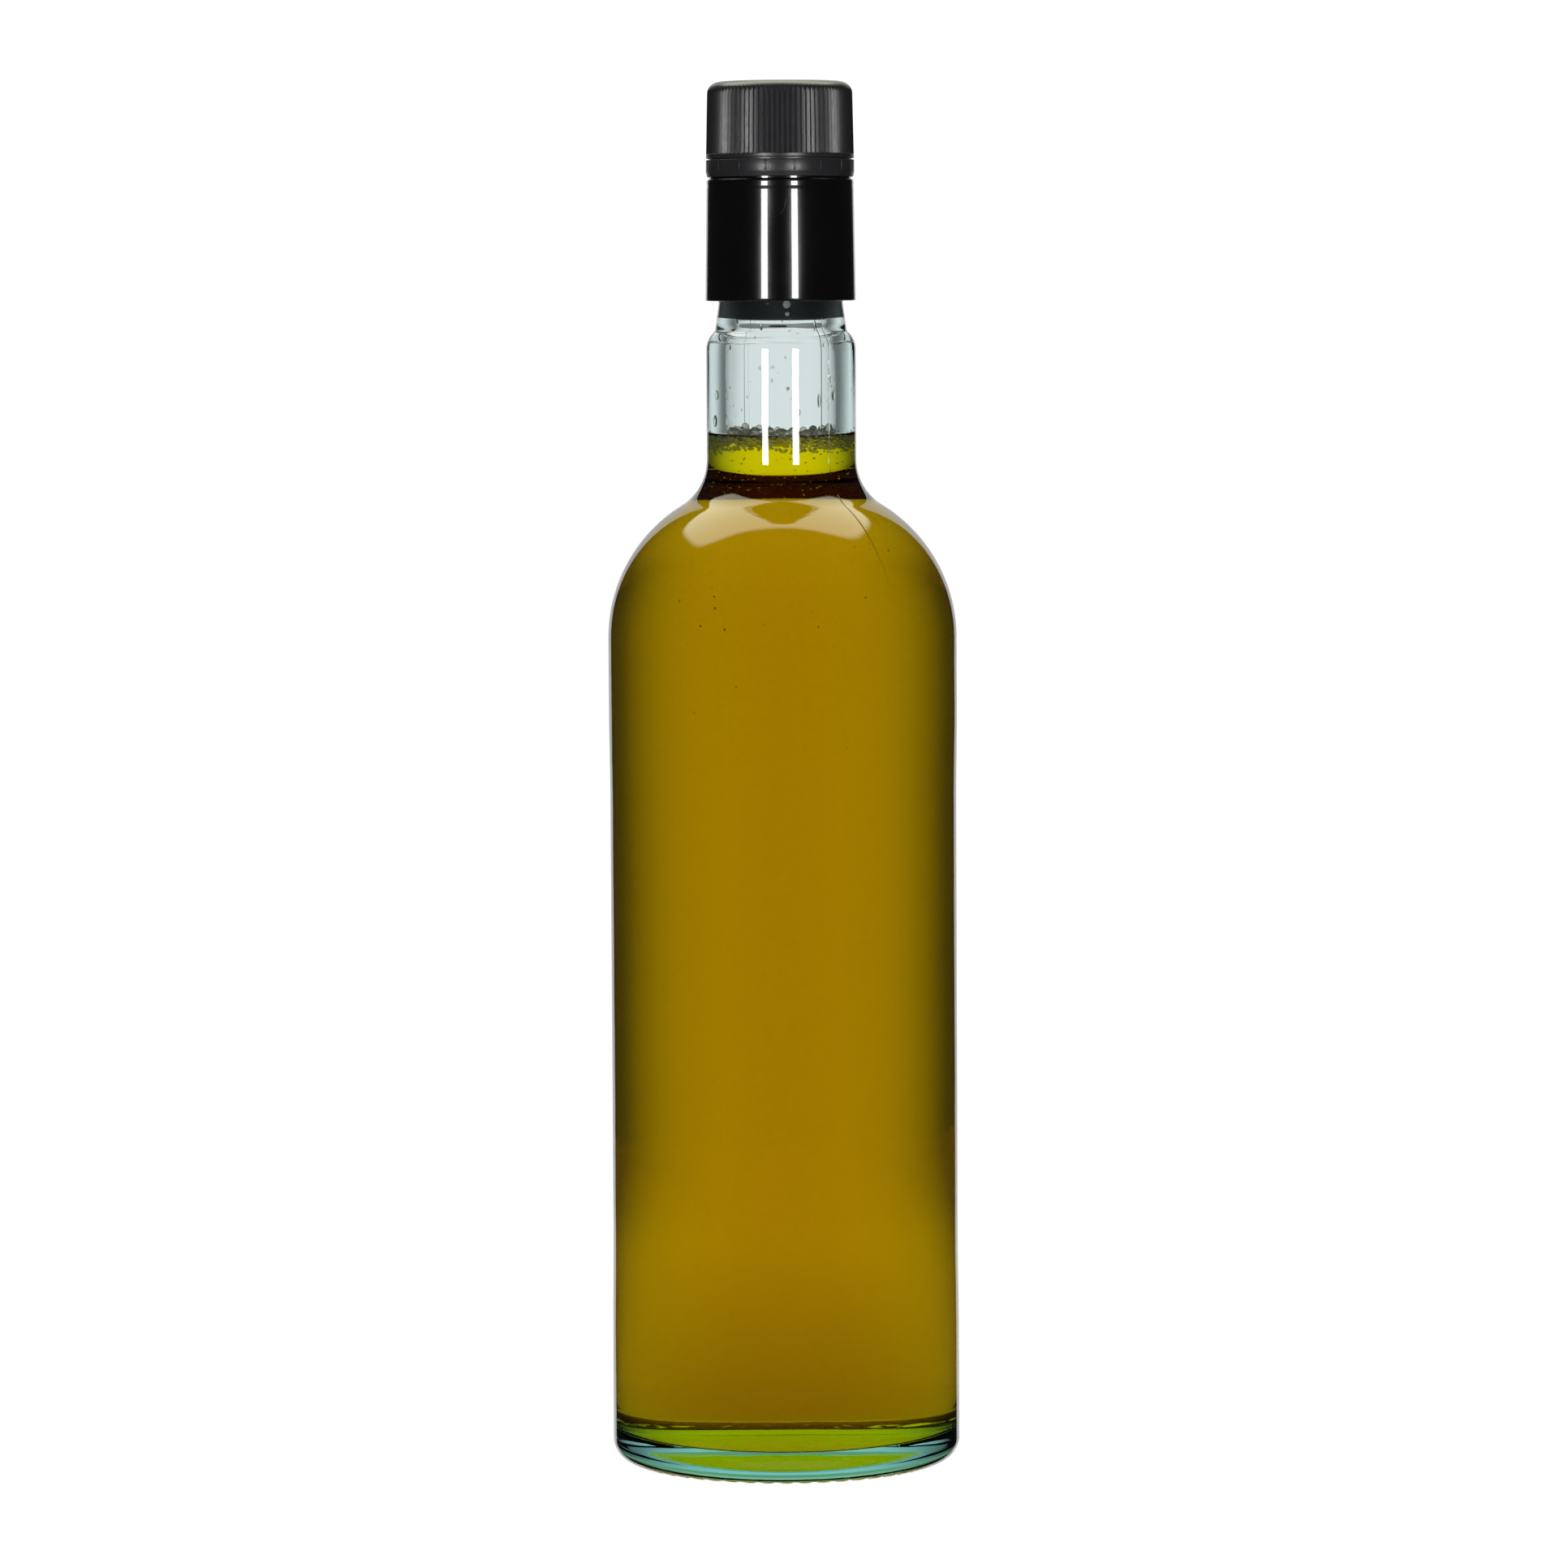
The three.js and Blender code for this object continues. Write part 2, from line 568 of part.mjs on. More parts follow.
// The knurl as a toothed ring that tapers with the cap.
function knurlGeometry() {
  const low = CAP_FOOT_Z + KNURL_FOOT;
  const high = CAP_TOP_Z - CAP_ROUND;
  const outline = new THREE.Shape();
  for (let i = 0; i < 2 * KNURL_COUNT; i++) {
    const angle = (TURN * i) / (2 * KNURL_COUNT);
    const r = i % 2 ? CAP_FOOT_R - KNURL_DEPTH : CAP_FOOT_R;
    const corner = point(r * Math.cos(angle), r * Math.sin(angle));
    if (i) outline.lineTo(corner.x, corner.y);
    else outline.moveTo(corner.x, corner.y);
  }
  outline.closePath();
  const hole = new THREE.Path();
  hole.absarc(0, 0, CAP_BORE_R + CAP_WALL / 2, 0, TURN, true);
  outline.holes.push(hole);
  const geometry = new THREE.ExtrudeGeometry(outline, {
    depth: high - low,
    bevelEnabled: false,
    curveSegments: CLOSURE_SIDES / 2,
  });
  geometry.translate(0, 0, low);
  const place = geometry.attributes.position;
  for (let i = 0; i < place.count; i++) {
    const taper = capCrestR(place.getZ(i)) / CAP_FOOT_R;
    place.setXY(i, place.getX(i) * taper, place.getY(i) * taper);
  }
  return geometry;
}

function capGeometry() {
  const innerTopZ = CAP_TOP_Z - CAP_TOP_THICK;
  const roundZ = CAP_TOP_Z - CAP_ROUND;
  const rimTopZ = CAP_FOOT_Z + KNURL_FOOT;
  const shell = turned(
    [
      point(0, innerTopZ),
      point(CAP_BORE_R, innerTopZ),
      point(CAP_BORE_R, CAP_FOOT_Z),
      point(CAP_FOOT_R, CAP_FOOT_Z),
      point(capCrestR(rimTopZ), rimTopZ),
      point(CAP_BORE_R + CAP_WALL, rimTopZ + 0.2),
      point(capCrestR(roundZ) - KNURL_DEPTH, roundZ - 0.2),
      ...arc(capCrestR(roundZ) - CAP_ROUND, roundZ, CAP_ROUND, 0, 90, 3),
      point(CAP_DISH_R + CAP_DISH_DEPTH, CAP_TOP_Z),
      point(CAP_DISH_R, CAP_TOP_Z - CAP_DISH_DEPTH),
      point(0, CAP_TOP_Z - CAP_DISH_DEPTH),
    ],
    CLOSURE_SIDES,
  );
  const turnsAlong = (CAP_THREAD_START - POUR_THREAD_START) / 360;
  const threadZ = THREAD_START_Z - THREAD_DROP + THREAD_PITCH * turnsAlong;
  const rootR = CAP_BORE_R + GAP;
  const ridge = threadRidge(rootR, CAP_THREAD_CREST_R, CAP_THREAD_START, threadZ, CAP_THREAD_TURNS);
  return geometryOf(solid(shell).add(solid(knurlGeometry())).add(solid(ridge)));
}

// Disc under the cap's top with a ring that plugs the spout.
function linerProfile() {
  const ringR = SPOUT_BORE_R - GAP;
  const ringFootZ = LINER_FOOT_Z - PLUG_RING_LENGTH;
  const discR = CAP_BORE_R - GAP;
  return [
    point(0, LINER_FOOT_Z),
    point(ringR - PLUG_RING_THICK, LINER_FOOT_Z),
    point(ringR - PLUG_RING_THICK, ringFootZ),
    point(ringR - 0.3, ringFootZ),
    point(ringR, ringFootZ + 0.6),
    point(ringR, LINER_FOOT_Z),
    point(discR, LINER_FOOT_Z),
    point(discR, LINER_TOP_Z),
    point(0, LINER_TOP_Z),
  ];
}

// ---------------------------------------------------------------- assembly

const gasket = tube(
  MOUTH_BORE_R + 0.5,
  LIP_R - GAP,
  GASKET_Z,
  GASKET_Z + GASKET_THICK,
  CLOSURE_SIDES,
);
const ball = new THREE.SphereGeometry(BALL_R, 20, 12).rotateX(Math.PI / 2);

const bottle = new THREE.Group();
bottle.add(
  piece("bottle_glass", turned(glassProfile(), GLASS_SIDES), clearGlass),
  piece("oil_fill", turned(oilProfile(), GLASS_SIDES), oliveOil),
);

const closure = new THREE.Group();
closure.add(
  piece("outer_sleeve", sleeveGeometry(), glossBlack),
  piece("neck_gasket", gasket, softSeal),
  piece("pour_fitment", fitmentGeometry(), satinBlack),
  piece("drip_free_spout", spoutGeometry(), naturalPlastic),
  piece("valve_cage", cageGeometry(), satinBlack),
  piece("flow_guide", guideGeometry(), naturalPlastic),
  piece("tamper_band", bandGeometry(), satinBlack),
);

const valve = new THREE.Group();
const restingBall = piece("valve_ball", ball, ballGlass);
restingBall.position.set(0, 0, BALL_Z);
valve.add(piece("valve_disc", turned(valveProfile(), SMALL_SIDES), naturalPlastic), restingBall);
closure.add(valve);

const cap = new THREE.Group();
cap.add(
  piece("screw_cap", capGeometry(), satinBlack),
  piece("cap_liner", turned(linerProfile(), CLOSURE_SIDES), softSeal),
);
closure.add(cap);

const oilBottle = new THREE.Group();
oilBottle.add(bottle, closure);

export default oilBottle;
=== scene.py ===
# %% [markdown]
# # A bottle of olive oil
#
# A clear glass bottle holds 750 ml of golden oil. It is closed with a black plastic closure:
# a glossy sleeve, a tamper band and a knurled screw cap, with a pouring insert and a ball
# valve inside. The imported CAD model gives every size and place, and this script only gives
# it fine surfaces, materials, light and a camera.
#
# The frame is loaded first. Each CAD node then sits at the origin with its place in its mesh.

# %% Load the frame
import random
from math import atan2, cos, degrees, pi, radians, sin, sqrt

import bmesh
import bpy
from mathutils import Matrix, Vector


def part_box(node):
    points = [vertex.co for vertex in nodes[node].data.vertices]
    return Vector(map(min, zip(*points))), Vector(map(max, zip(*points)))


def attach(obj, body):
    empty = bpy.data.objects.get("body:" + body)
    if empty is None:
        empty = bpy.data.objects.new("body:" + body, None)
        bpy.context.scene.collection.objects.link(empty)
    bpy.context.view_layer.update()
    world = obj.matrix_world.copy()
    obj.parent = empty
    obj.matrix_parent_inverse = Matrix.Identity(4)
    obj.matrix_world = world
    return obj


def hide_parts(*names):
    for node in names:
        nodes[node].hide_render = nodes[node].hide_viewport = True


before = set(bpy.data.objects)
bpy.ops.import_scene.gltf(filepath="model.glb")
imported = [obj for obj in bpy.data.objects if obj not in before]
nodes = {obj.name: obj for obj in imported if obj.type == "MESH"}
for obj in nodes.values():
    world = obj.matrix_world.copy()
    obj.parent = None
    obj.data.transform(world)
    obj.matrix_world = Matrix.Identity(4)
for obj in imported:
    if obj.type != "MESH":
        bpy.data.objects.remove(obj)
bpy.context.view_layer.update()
MM = 0.001
print("nodes:", sorted(nodes))

# %% [markdown]
# ## The camera
#
# A product photographer stands well back with a long lens, so that the bottle's sides stay
# nearly parallel. The camera is level with the closure and looks down at the bottle's middle.
# It is made first, because the lights are later hung from it.

# %% Camera
CAMERA_DISTANCE = 1.42
CAMERA_HEIGHT = 0.2537
AIM_HEIGHT = 0.1483
LENS = 149.7
ROLL = 0.3

camera_data = bpy.data.cameras.new("camera")
camera_data.lens = LENS
camera_data.sensor_width = 36
camera_data.shift_x = 0.0021
camera = bpy.data.objects.new("camera", camera_data)
bpy.context.scene.collection.objects.link(camera)
camera.location = (0, -CAMERA_DISTANCE, CAMERA_HEIGHT)
looking_down = atan2(CAMERA_HEIGHT - AIM_HEIGHT, CAMERA_DISTANCE)
camera.rotation_euler = (pi / 2 - looking_down, radians(ROLL), 0)
bpy.context.scene.camera = camera
print("looking down", round(degrees(looking_down), 2), "degrees")

# %% [markdown]
# ## Outlines
#
# Nearly every piece here came out of a round mould, so nearly every piece is an outline turned
# about the bottle's axis. An outline is a list of (radius, height) points in millimetres.
# Straight stretches need only their ends, and round stretches come from these formulas.


# %% Arcs, corners, domes and soft steps
def arc(centre_r, centre_z, radius, start, end, steps):
    """Points on a circle, between two angles in degrees. 0 points outwards and 90 points up."""
    turns = [radians(start + (end - start) * i / steps) for i in range(steps + 1)]
    return [(centre_r + radius * cos(a), centre_z + radius * sin(a)) for a in turns]


def low_corner(r, z, radius, steps):
    """A round in place of the sharp outer corner of a foot at (r, z)."""
    return arc(r - radius, z + radius, radius, -90, 0, steps)


def high_corner(r, z, radius, steps):
    """A round in place of the sharp outer corner of a top at (r, z)."""
    return arc(r - radius, z - radius, radius, 0, 90, steps)


def inner_corner(r, z, radius, steps):
    """A round in place of the sharp inner corner of a top at (r, z)."""
    return arc(r + radius, z - radius, radius, 90, 180, steps)


def closed(*outline):
    """An outline that ends where it started."""
    return [*outline, outline[0]]


def dome(rim_r, rim_z, rise, steps):
    """A shallow dome from the axis out to its rim."""
    radii = [rim_r * i / steps for i in range(steps + 1)]
    return [(r, rim_z + rise * (1 - (r / rim_r) ** 2)) for r in radii]


def ease(start, end, steps):
    """A soft step in radius between two points."""
    points = []
    for i in range(steps + 1):
        t = i / steps
        share = t * t * (3 - 2 * t)
        r = start[0] + (end[0] - start[0]) * share
        points.append((r, start[1] + (end[1] - start[1]) * t))
    return points


def shoulder(body_r, neck_r, bulge_r, throat_r, steps):
    """The bulge over the body and the hollow below the neck: two arcs that run into each other."""
    across = neck_r + throat_r - (body_r - bulge_r)
    up = sqrt((bulge_r + throat_r) ** 2 - across**2)
    meet = degrees(atan2(up, across))
    bulge = arc(body_r - bulge_r, SHOULDER_Z, bulge_r, 0, meet, steps)
    throat = arc(neck_r + throat_r, SHOULDER_Z + up, throat_r, 180 + meet, 180, steps // 2)
    return bulge + throat[1:]


# %% [markdown]
# Smooth shading blends the directions of neighbouring faces. On a long straight wall that ends in
# a round, the blend would run along the whole wall and bend every reflection in it. An extra
# point close to each end of a long straight stretch keeps the blend short.

# %% Holding straight stretches
HOLD = 0.5
LONG = 3.0


def hold_straight(outline):
    """Adds a point near both ends of every long straight stretch of an outline."""
    held = [outline[0]]
    for start, end in zip(outline, outline[1:]):
        along = Vector(end) - Vector(start)
        if along.length > LONG:
            step = along.normalized() * HOLD
            held.append(tuple(Vector(start) + step))
            held.append(tuple(Vector(end) - step))
        held.append(end)
    return held


# %% [markdown]
# ## Turning an outline
#
# By hand, this is one vertex that is extruded from point to point in edit mode, and then the
# Spin tool. A Screw modifier could do the same, but Spin leaves a plain mesh that can be edited
# at once, which the knurl and the scalloped base need. After a full turn the first and last
# columns coincide, so doubles are merged, and the normals are made to point outwards again.


# %% Turned pieces
def deselect_all():
    if bpy.context.object and bpy.context.object.mode == "EDIT":
        bpy.ops.object.mode_set(mode="OBJECT")
    bpy.ops.object.select_all(action="DESELECT")


def choose(*pieces):
    """Selects some pieces and nothing else. The first of them is the active one."""
    deselect_all()
    for piece in pieces:
        piece.select_set(True)
    bpy.context.view_layer.objects.active = pieces[0]


def start_vertex(name, point):
    """A new piece in edit mode: a small plane drawn together to one vertex."""
    deselect_all()
    bpy.ops.mesh.primitive_plane_add(size=MM)
    piece = bpy.context.object
    piece.name = piece.data.name = name
    bpy.ops.object.mode_set(mode="EDIT")
    bpy.ops.mesh.merge(type="CENTER")
    bpy.ops.transform.translate(value=(point[0] * MM, 0, point[1] * MM))
    return piece


def draw_outline(name, outline):
    """Extrudes one vertex along an outline and leaves the piece in edit mode."""
    piece = start_vertex(name, outline[0])
    for (r0, z0), (r1, z1) in zip(outline, outline[1:]):
        step = ((r1 - r0) * MM, 0, (z1 - z0) * MM)
        bpy.ops.mesh.extrude_region_move(TRANSFORM_OT_translate={"value": step})
    return piece


def finish_mesh(piece, smooth_angle=40):
    """Merges doubles, turns the faces outwards, and smooths all but the sharp edges."""
    bpy.ops.mesh.select_all(action="SELECT")
    bpy.ops.mesh.remove_doubles(threshold=1e-6)
    bpy.ops.mesh.normals_make_consistent(inside=False)
    bpy.ops.object.mode_set(mode="OBJECT")
    bpy.ops.object.shade_smooth_by_angle(angle=radians(smooth_angle))
    return piece


def turned(name, outline, steps, smooth_angle=40, hold=True):
    """A piece turned from an outline that starts and ends on the axis, or closes on itself."""
    piece = draw_outline(name, hold_straight(outline) if hold else outline)
    bpy.ops.mesh.select_all(action="SELECT")
    bpy.ops.mesh.spin(steps=steps, angle=2 * pi, center=(0, 0, 0), axis=(0, 0, 1))
    finish_mesh(piece, smooth_angle)
    print(name, len(piece.data.vertices), "vertices")
    return piece


# %% [markdown]
# Some pieces are shaped again after they are turned. These helpers go back into edit mode, pick
# vertices by their place, and move what is picked.


# %% Picking vertices by place
def edit(piece):
    choose(piece)
    bpy.ops.object.mode_set(mode="EDIT")
    bpy.ops.mesh.select_mode(type="VERT")


def pick(piece, wanted):
    """Selects the vertices for which wanted(angle in degrees, radius, height in mm) is true."""
    mesh = bmesh.from_edit_mesh(piece.data)
    count = 0
    for vertex in mesh.verts:
        x, y, z = vertex.co / MM
        chosen = wanted(degrees(atan2(y, x)) % 360, sqrt(x * x + y * y), z)
        vertex.select_set(chosen)
        count += chosen
    mesh.select_flush_mode()
    bmesh.update_edit_mesh(piece.data)
    return count


def copies(template, name, places):
    """Copies a template to each place, each copy with its own mesh, and joins them as one piece."""
    made = []
    for place in places:
        copy = template.copy()
        copy.data = template.data.copy()
        copy.data.transform(place)
        bpy.context.scene.collection.objects.link(copy)
        made.append(copy)
    choose(*made)
    bpy.ops.object.join()
    made[0].name = made[0].data.name = name
    bpy.data.objects.remove(template)
    print(name, len(places), "copies")
    return made[0]


def weld_on(piece, *additions):
    """Joins additions into a piece."""
    choose(piece, *additions)
    bpy.ops.object.join()


# %% [markdown]
# ## Sizes from the CAD, and handing a piece over
#
# Every piece starts from the box of its CAD node and ends in the same way. It gets its material,
# it rides on a body of the mechanism, and the CAD node that it stands for, if any, is hidden and
# stays only for collision.

# %% Spans and installation
def span(node):
    """Lowest height, highest height and outer radius of a CAD node, in millimetres."""
    low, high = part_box(node)
    return low.z / MM, high.z / MM, high.x / MM


def install(piece, material, body, node=None):
    """Gives a finished piece its material and its body, and hides the CAD node it stands for, if
    any.
    """
    piece.data.materials.clear()
    piece.data.materials.append(material)
    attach(piece, body)
    if node:
        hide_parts(node)


print("the glass, from its lowest to its highest point and its radius:", span("bottle_glass"))

# %% [markdown]
# ## Materials as expressions
#
# A material's maths reads best as plain arithmetic. `Value` wraps the output of a node, and its
# operators add Math nodes. `Finish` owns one material, and its `add` makes any other node.


# %% The node helpers
class Value:
    """A number or colour that varies over a surface."""

    def __init__(self, finish, socket):
        self.finish = finish
        self.socket = socket

    def math(self, operation, first, second=0.0):
        return self.finish.add("ShaderNodeMath", {"operation": operation}, {0: first, 1: second})

    def __add__(self, other):
        return self.math("ADD", self, other)

    def __sub__(self, other):
        return self.math("SUBTRACT", self, other)

    def __mul__(self, other):
        return self.math("MULTIPLY", self, other)

    def __pow__(self, other):
        return self.math("POWER", self, other)

    def __rsub__(self, other):
        return self.math("SUBTRACT", other, self)

    def __abs__(self):
        return self.math("ABSOLUTE", self)

    __radd__ = __add__
    __rmul__ = __mul__


class Finish:
    """One material: a Principled shader, and the nodes that feed it."""

    def __init__(self, name, **constants):
        self.material = bpy.data.materials.new(name)
        self.material.use_nodes = True
        self.tree = self.material.node_tree
        self.shader = self.tree.nodes["Principled BSDF"]
        self.output = self.tree.nodes["Material Output"]
        self.fix(self.shader, constants)

    def fix(self, shader, constants):
        """Sets numbers that are the same all over the surface."""
        for words, value in constants.items():
            socket = words.replace("_", " ").title().replace("Ior", "IOR")
            shader.inputs[socket].default_value = value

    def where(self, mask, **constants):
        """A second Principled shader, white unless told otherwise, for where the mask is 1."""
        other = self.tree.nodes.new("ShaderNodeBsdfPrincipled")
        self.fix(other, {"base_color": (1, 1, 1, 1), **constants})
        mix = self.tree.nodes.new("ShaderNodeMixShader")
        self.feed(mix.inputs[0], mask)
        self.tree.links.new(self.shader.outputs[0], mix.inputs[1])
        self.tree.links.new(other.outputs[0], mix.inputs[2])
        self.tree.links.new(mix.outputs[0], self.output.inputs["Surface"])

    def marked(self, name):
        """A mark that the mesh carries on its faces, 0 or 1."""
        return self.add("ShaderNodeAttribute", {"attribute_name": name}, output=2)

    def add(self, kind, settings=None, inputs=None, output=0):
        node = self.tree.nodes.new(kind)
        for key, value in (settings or {}).items():
            setattr(node, key, value)
        for key, value in (inputs or {}).items():
            self.feed(node.inputs[key], value)
        return Value(self, node.outputs[output])

    def feed(self, socket, value):
        if isinstance(value, Value):
            self.tree.links.new(value.socket, socket)
        else:
            socket.default_value = value

    def place(self):
        """The point on the surface, in metres, in the piece's own frame."""
        return self.add("ShaderNodeTexCoord", output="Object")

    def part(self, axis):
        """One coordinate of that point."""
        return self.add("ShaderNodeSeparateXYZ", inputs={"Vector": self.place()}, output=axis)

    def facing(self):
        """0 where the surface faces the eye, and 1 where it turns away."""
        return self.add("ShaderNodeLayerWeight", inputs={"Blend": 0.5}, output=1)

    def noise(self, size, detail=2.0, roughness=0.5, stretch=(1, 1, 1)):
        """Noise from 0 to 1 whose features are about size metres across."""
        mapping = self.add("ShaderNodeMapping", inputs={"Vector": self.place(), "Scale": stretch})
        inputs = {"Vector": mapping, "Scale": 1 / size, "Detail": detail, "Roughness": roughness}
        return self.add("ShaderNodeTexNoise", inputs=inputs)

    def blend(self, factor, first, second):
        """A colour between two colours."""
        settings = {"data_type": "RGBA"}
        return self.add("ShaderNodeMix", settings, {0: factor, 6: first, 7: second}, output=2)

    def fade(self, value, low, high):
        """0 below low, 1 above high, and smooth between."""
        settings = {"interpolation_type": "SMOOTHSTEP"}
        inputs = {"Value": value, "From Min": low, "From Max": high}
        return self.add("ShaderNodeMapRange", settings, inputs)

    def set(self, socket, value):
        self.feed(self.shader.inputs[socket], value)

    def bump(self, height, distance=1.0):
        """Height in metres, as a bump."""
        inputs = {"Height": height, "Distance": distance, "Strength": 1.0}
        self.set("Normal", self.add("ShaderNodeBump", inputs=inputs))

    def absorb(self, colour, density):
        """Light that passes through the piece is coloured by what it soaks up on its way."""
        volume = self.tree.nodes.new("ShaderNodeVolumeAbsorption")
        volume.inputs["Color"].default_value = (*colour, 1)
        volume.inputs["Density"].default_value = density
        self.tree.links.new(volume.outputs[0], self.output.inputs["Volume"])


# %% [markdown]
# ## Clear glass
#
# Bottle glass is clear across a wall and faintly blue-green along it, which shows only where
# light runs a long way inside, as in the thick base. A tint on the surface would colour thick
# and thin glass alike, so the colour is absorption inside the volume. Blown glass is never quite
# even: a broad bump gives the slow waves that bend the lamps' reflections. A fine ridge runs up
# both sides where the two halves of the mould met, and a wavy line goes round below the finish
# where the neck ring closed.
#
# Where oil wets the inside, light passes from glass to oil and hardly bends or reflects. There
# the surface has the ratio of the two refractive indices in place of the glass's own. The faces
# carry a mark that says where, and a Mix Shader reads it.

# %% Glass finish
SEAM_AZIMUTH = radians(-50.5)
SEAM_HEIGHT = 0.10 * MM
SEAM_HALF_WIDTH = 0.22 * MM
SEAM_FADE_LOW = 0.186
SEAM_FADE_HIGH = 0.2
GLASS_IOR = 1.52
OIL_IOR = 1.47
GLASS_TINT = (0.1, 0.725, 0.675)
GLASS_DENSITY = 24.0
NECK_TOP_Z = 243.05
PARTING_Z = NECK_TOP_Z + 0.9
SHOULDER_Z = 180.4


def ridge(finish, offset, half_width, height):
    """A rounded ridge along the line where offset is zero."""
    return finish.fade(half_width - abs(offset), 0.0, half_width) * height


def glass_finish():
    glass = Finish("clear_glass", roughness=0.0, ior=GLASS_IOR, transmission_weight=1.0)
    glass.set("Base Color", (1, 1, 1, 1))
    x, y, z = (glass.part(axis) for axis in "XYZ")
    waves = glass.noise(0.018, detail=1.0, stretch=(1, 1, 0.6)) * (0.16 * MM)
    ripples = glass.noise(0.005, detail=1.0, stretch=(1, 1, 0.5)) * (0.02 * MM)
    across_seam = x * sin(SEAM_AZIMUTH) - y * cos(SEAM_AZIMUTH)
    seam_strength = 0.06 + 0.94 * glass.fade(z, SEAM_FADE_LOW, SEAM_FADE_HIGH)
    seam = ridge(glass, across_seam, SEAM_HALF_WIDTH, SEAM_HEIGHT) * seam_strength
    wander = glass.noise(0.012, detail=0.0) * (1.2 * MM)
    parting = ridge(glass, z - wander - PARTING_Z * MM, 0.25 * MM, 0.08 * MM)
    glass.bump(waves + ripples + seam + parting)
    glass.absorb(GLASS_TINT, GLASS_DENSITY)
    into_oil = {"ior": GLASS_IOR / OIL_IOR, "transmission_weight": 1.0, "roughness": 0.0}
    glass.where(glass.marked("wetted"), **into_oil)
    return glass.material


clear_glass = glass_finish()
print("glass finish:", len(clear_glass.node_tree.nodes), "nodes")

# %% [markdown]
# ## The glass bottle
#
# The outside runs from the push-up under the base, over the ring it stands on, up two slightly
# raised contact bands with the label panel between them, over the shoulder and up the neck to
# the finish. Then it turns over the lip and comes down the inside. The whole section is turned
# in one go, in 216 columns, four for each of the 54 scallops on the standing ring.

# %% Glass outline
_, GLASS_TOP_Z, BODY_R = span("bottle_glass")
_, FILL_Z, _ = span("oil_fill")
PANEL_R = BODY_R - 0.2
FOOT_BAND = (27, 52)
UPPER_BAND = (144, 166)
WALL = 2.85
BULGE_R = 33.8
THROAT_R = 11.7
INNER_THROAT_R = 15.6
HEEL_R = 5
STAND_ROUND = 4.6
STAND_WIDTH = 3.9
PUSH_UP = 3.25
NECK_R = 16.27
NECK_BORE_R = 12.0
STEP_R = 4.95
MOUTH_BORE_R = 10.0
FLOOR_Z = 6.6
FLOOR_RISE = 1.8
BORE_FOOT_Z = GLASS_TOP_Z - 26.5
LIP_R = 13.2
LIP_ROUND = 0.9
MENISCUS = 1.1
MENISCUS_DIP = 0.4
CONTACT_Z = FILL_Z + MENISCUS - MENISCUS_DIP
SCALLOPS = 54
COLUMNS_PER_SCALLOP = 4
GLASS_COLUMNS = SCALLOPS * COLUMNS_PER_SCALLOP


def cavity(grow=0.0):
    """The inside of the glass from the floor's middle up to the top of the neck's bore."""
    inner_r = BODY_R - WALL + grow
    heel_r = HEEL_R + grow
    floor = dome(inner_r - heel_r, FLOOR_Z - grow, FLOOR_RISE, 10)
    heel = low_corner(inner_r, FLOOR_Z - grow, heel_r, 8)
    rise = shoulder(inner_r, NECK_BORE_R + grow, BULGE_R - WALL + grow, INNER_THROAT_R - grow, 24)
    return floor + heel[1:] + rise


def cavity_radius(z):
    """Radius of the inside of the glass at a height, read off its outline."""
    side = cavity()
    for (r0, z0), (r1, z1) in zip(side, side[1:]):
        if z0 <= z <= z1:
            return r0 + (r1 - r0) * (z - z0) / (z1 - z0)
    return NECK_BORE_R


def glass_outline():
    stand_inner_r = BODY_R - STAND_ROUND - STAND_WIDTH
    outside = [
        *dome(stand_inner_r, 0.15, PUSH_UP, 12)[:-1],
        *arc(stand_inner_r + 0.3, 0.3, 0.3, 180 + 20, 270, 3),
        *low_corner(BODY_R, 0, STAND_ROUND, 12),
        *ease((BODY_R, FOOT_BAND[0]), (PANEL_R, FOOT_BAND[1]), 8),
        *ease((PANEL_R, UPPER_BAND[0]), (BODY_R, UPPER_BAND[1]), 8),
        *shoulder(BODY_R, NECK_R, BULGE_R, THROAT_R, 30),
        *arc(NECK_R - STEP_R, NECK_TOP_Z, STEP_R, 0, 46, 7),
    ]
    finish = [
        (14.55, NECK_TOP_Z + 3.75),
        (14.3, NECK_TOP_Z + 4.2),
        (14.2, NECK_TOP_Z + 4.9),
        (13.55, 252.6),
        (13.3, 255.5),
        (13.1, 257.2),
        (13.1, 259.4),
        *arc(13.3, 260.7, 0.8, -60, 0, 3),
        (14.1, 262.2),
        (LIP_R, 263.2),
    ]
    lip = [
        *high_corner(LIP_R, GLASS_TOP_Z, LIP_ROUND, 5),
        *inner_corner(MOUTH_BORE_R, GLASS_TOP_Z, LIP_ROUND, 5),
    ]
    bore = ease((MOUTH_BORE_R, BORE_FOOT_Z), (NECK_BORE_R, NECK_TOP_Z), 10)
    return outside + finish + lip + bore + [(NECK_BORE_R, CONTACT_Z)] + cavity()[::-1]


bottle_glass = turned("glass_bottle", glass_outline(), GLASS_COLUMNS, 60)


def mark_faces(piece, name, wanted):
    """Gives each face a mark: 1 where wanted(radius, height, upward) is true, and 0 elsewhere."""
    mark = piece.data.attributes.new(name, "FLOAT", "FACE")
    for face in piece.data.polygons:
        x, y, z = face.center / MM
        mark.data[face.index].value = float(wanted(sqrt(x * x + y * y), z, face.normal.z))


def is_wetted(r, z, upward):
    """True on the inside of the glass below the oil's edge."""
    return FLOOR_Z - 0.6 < z < CONTACT_Z and r < cavity_radius(z) + WALL / 2


mark_faces(bottle_glass, "wetted", is_wetted)

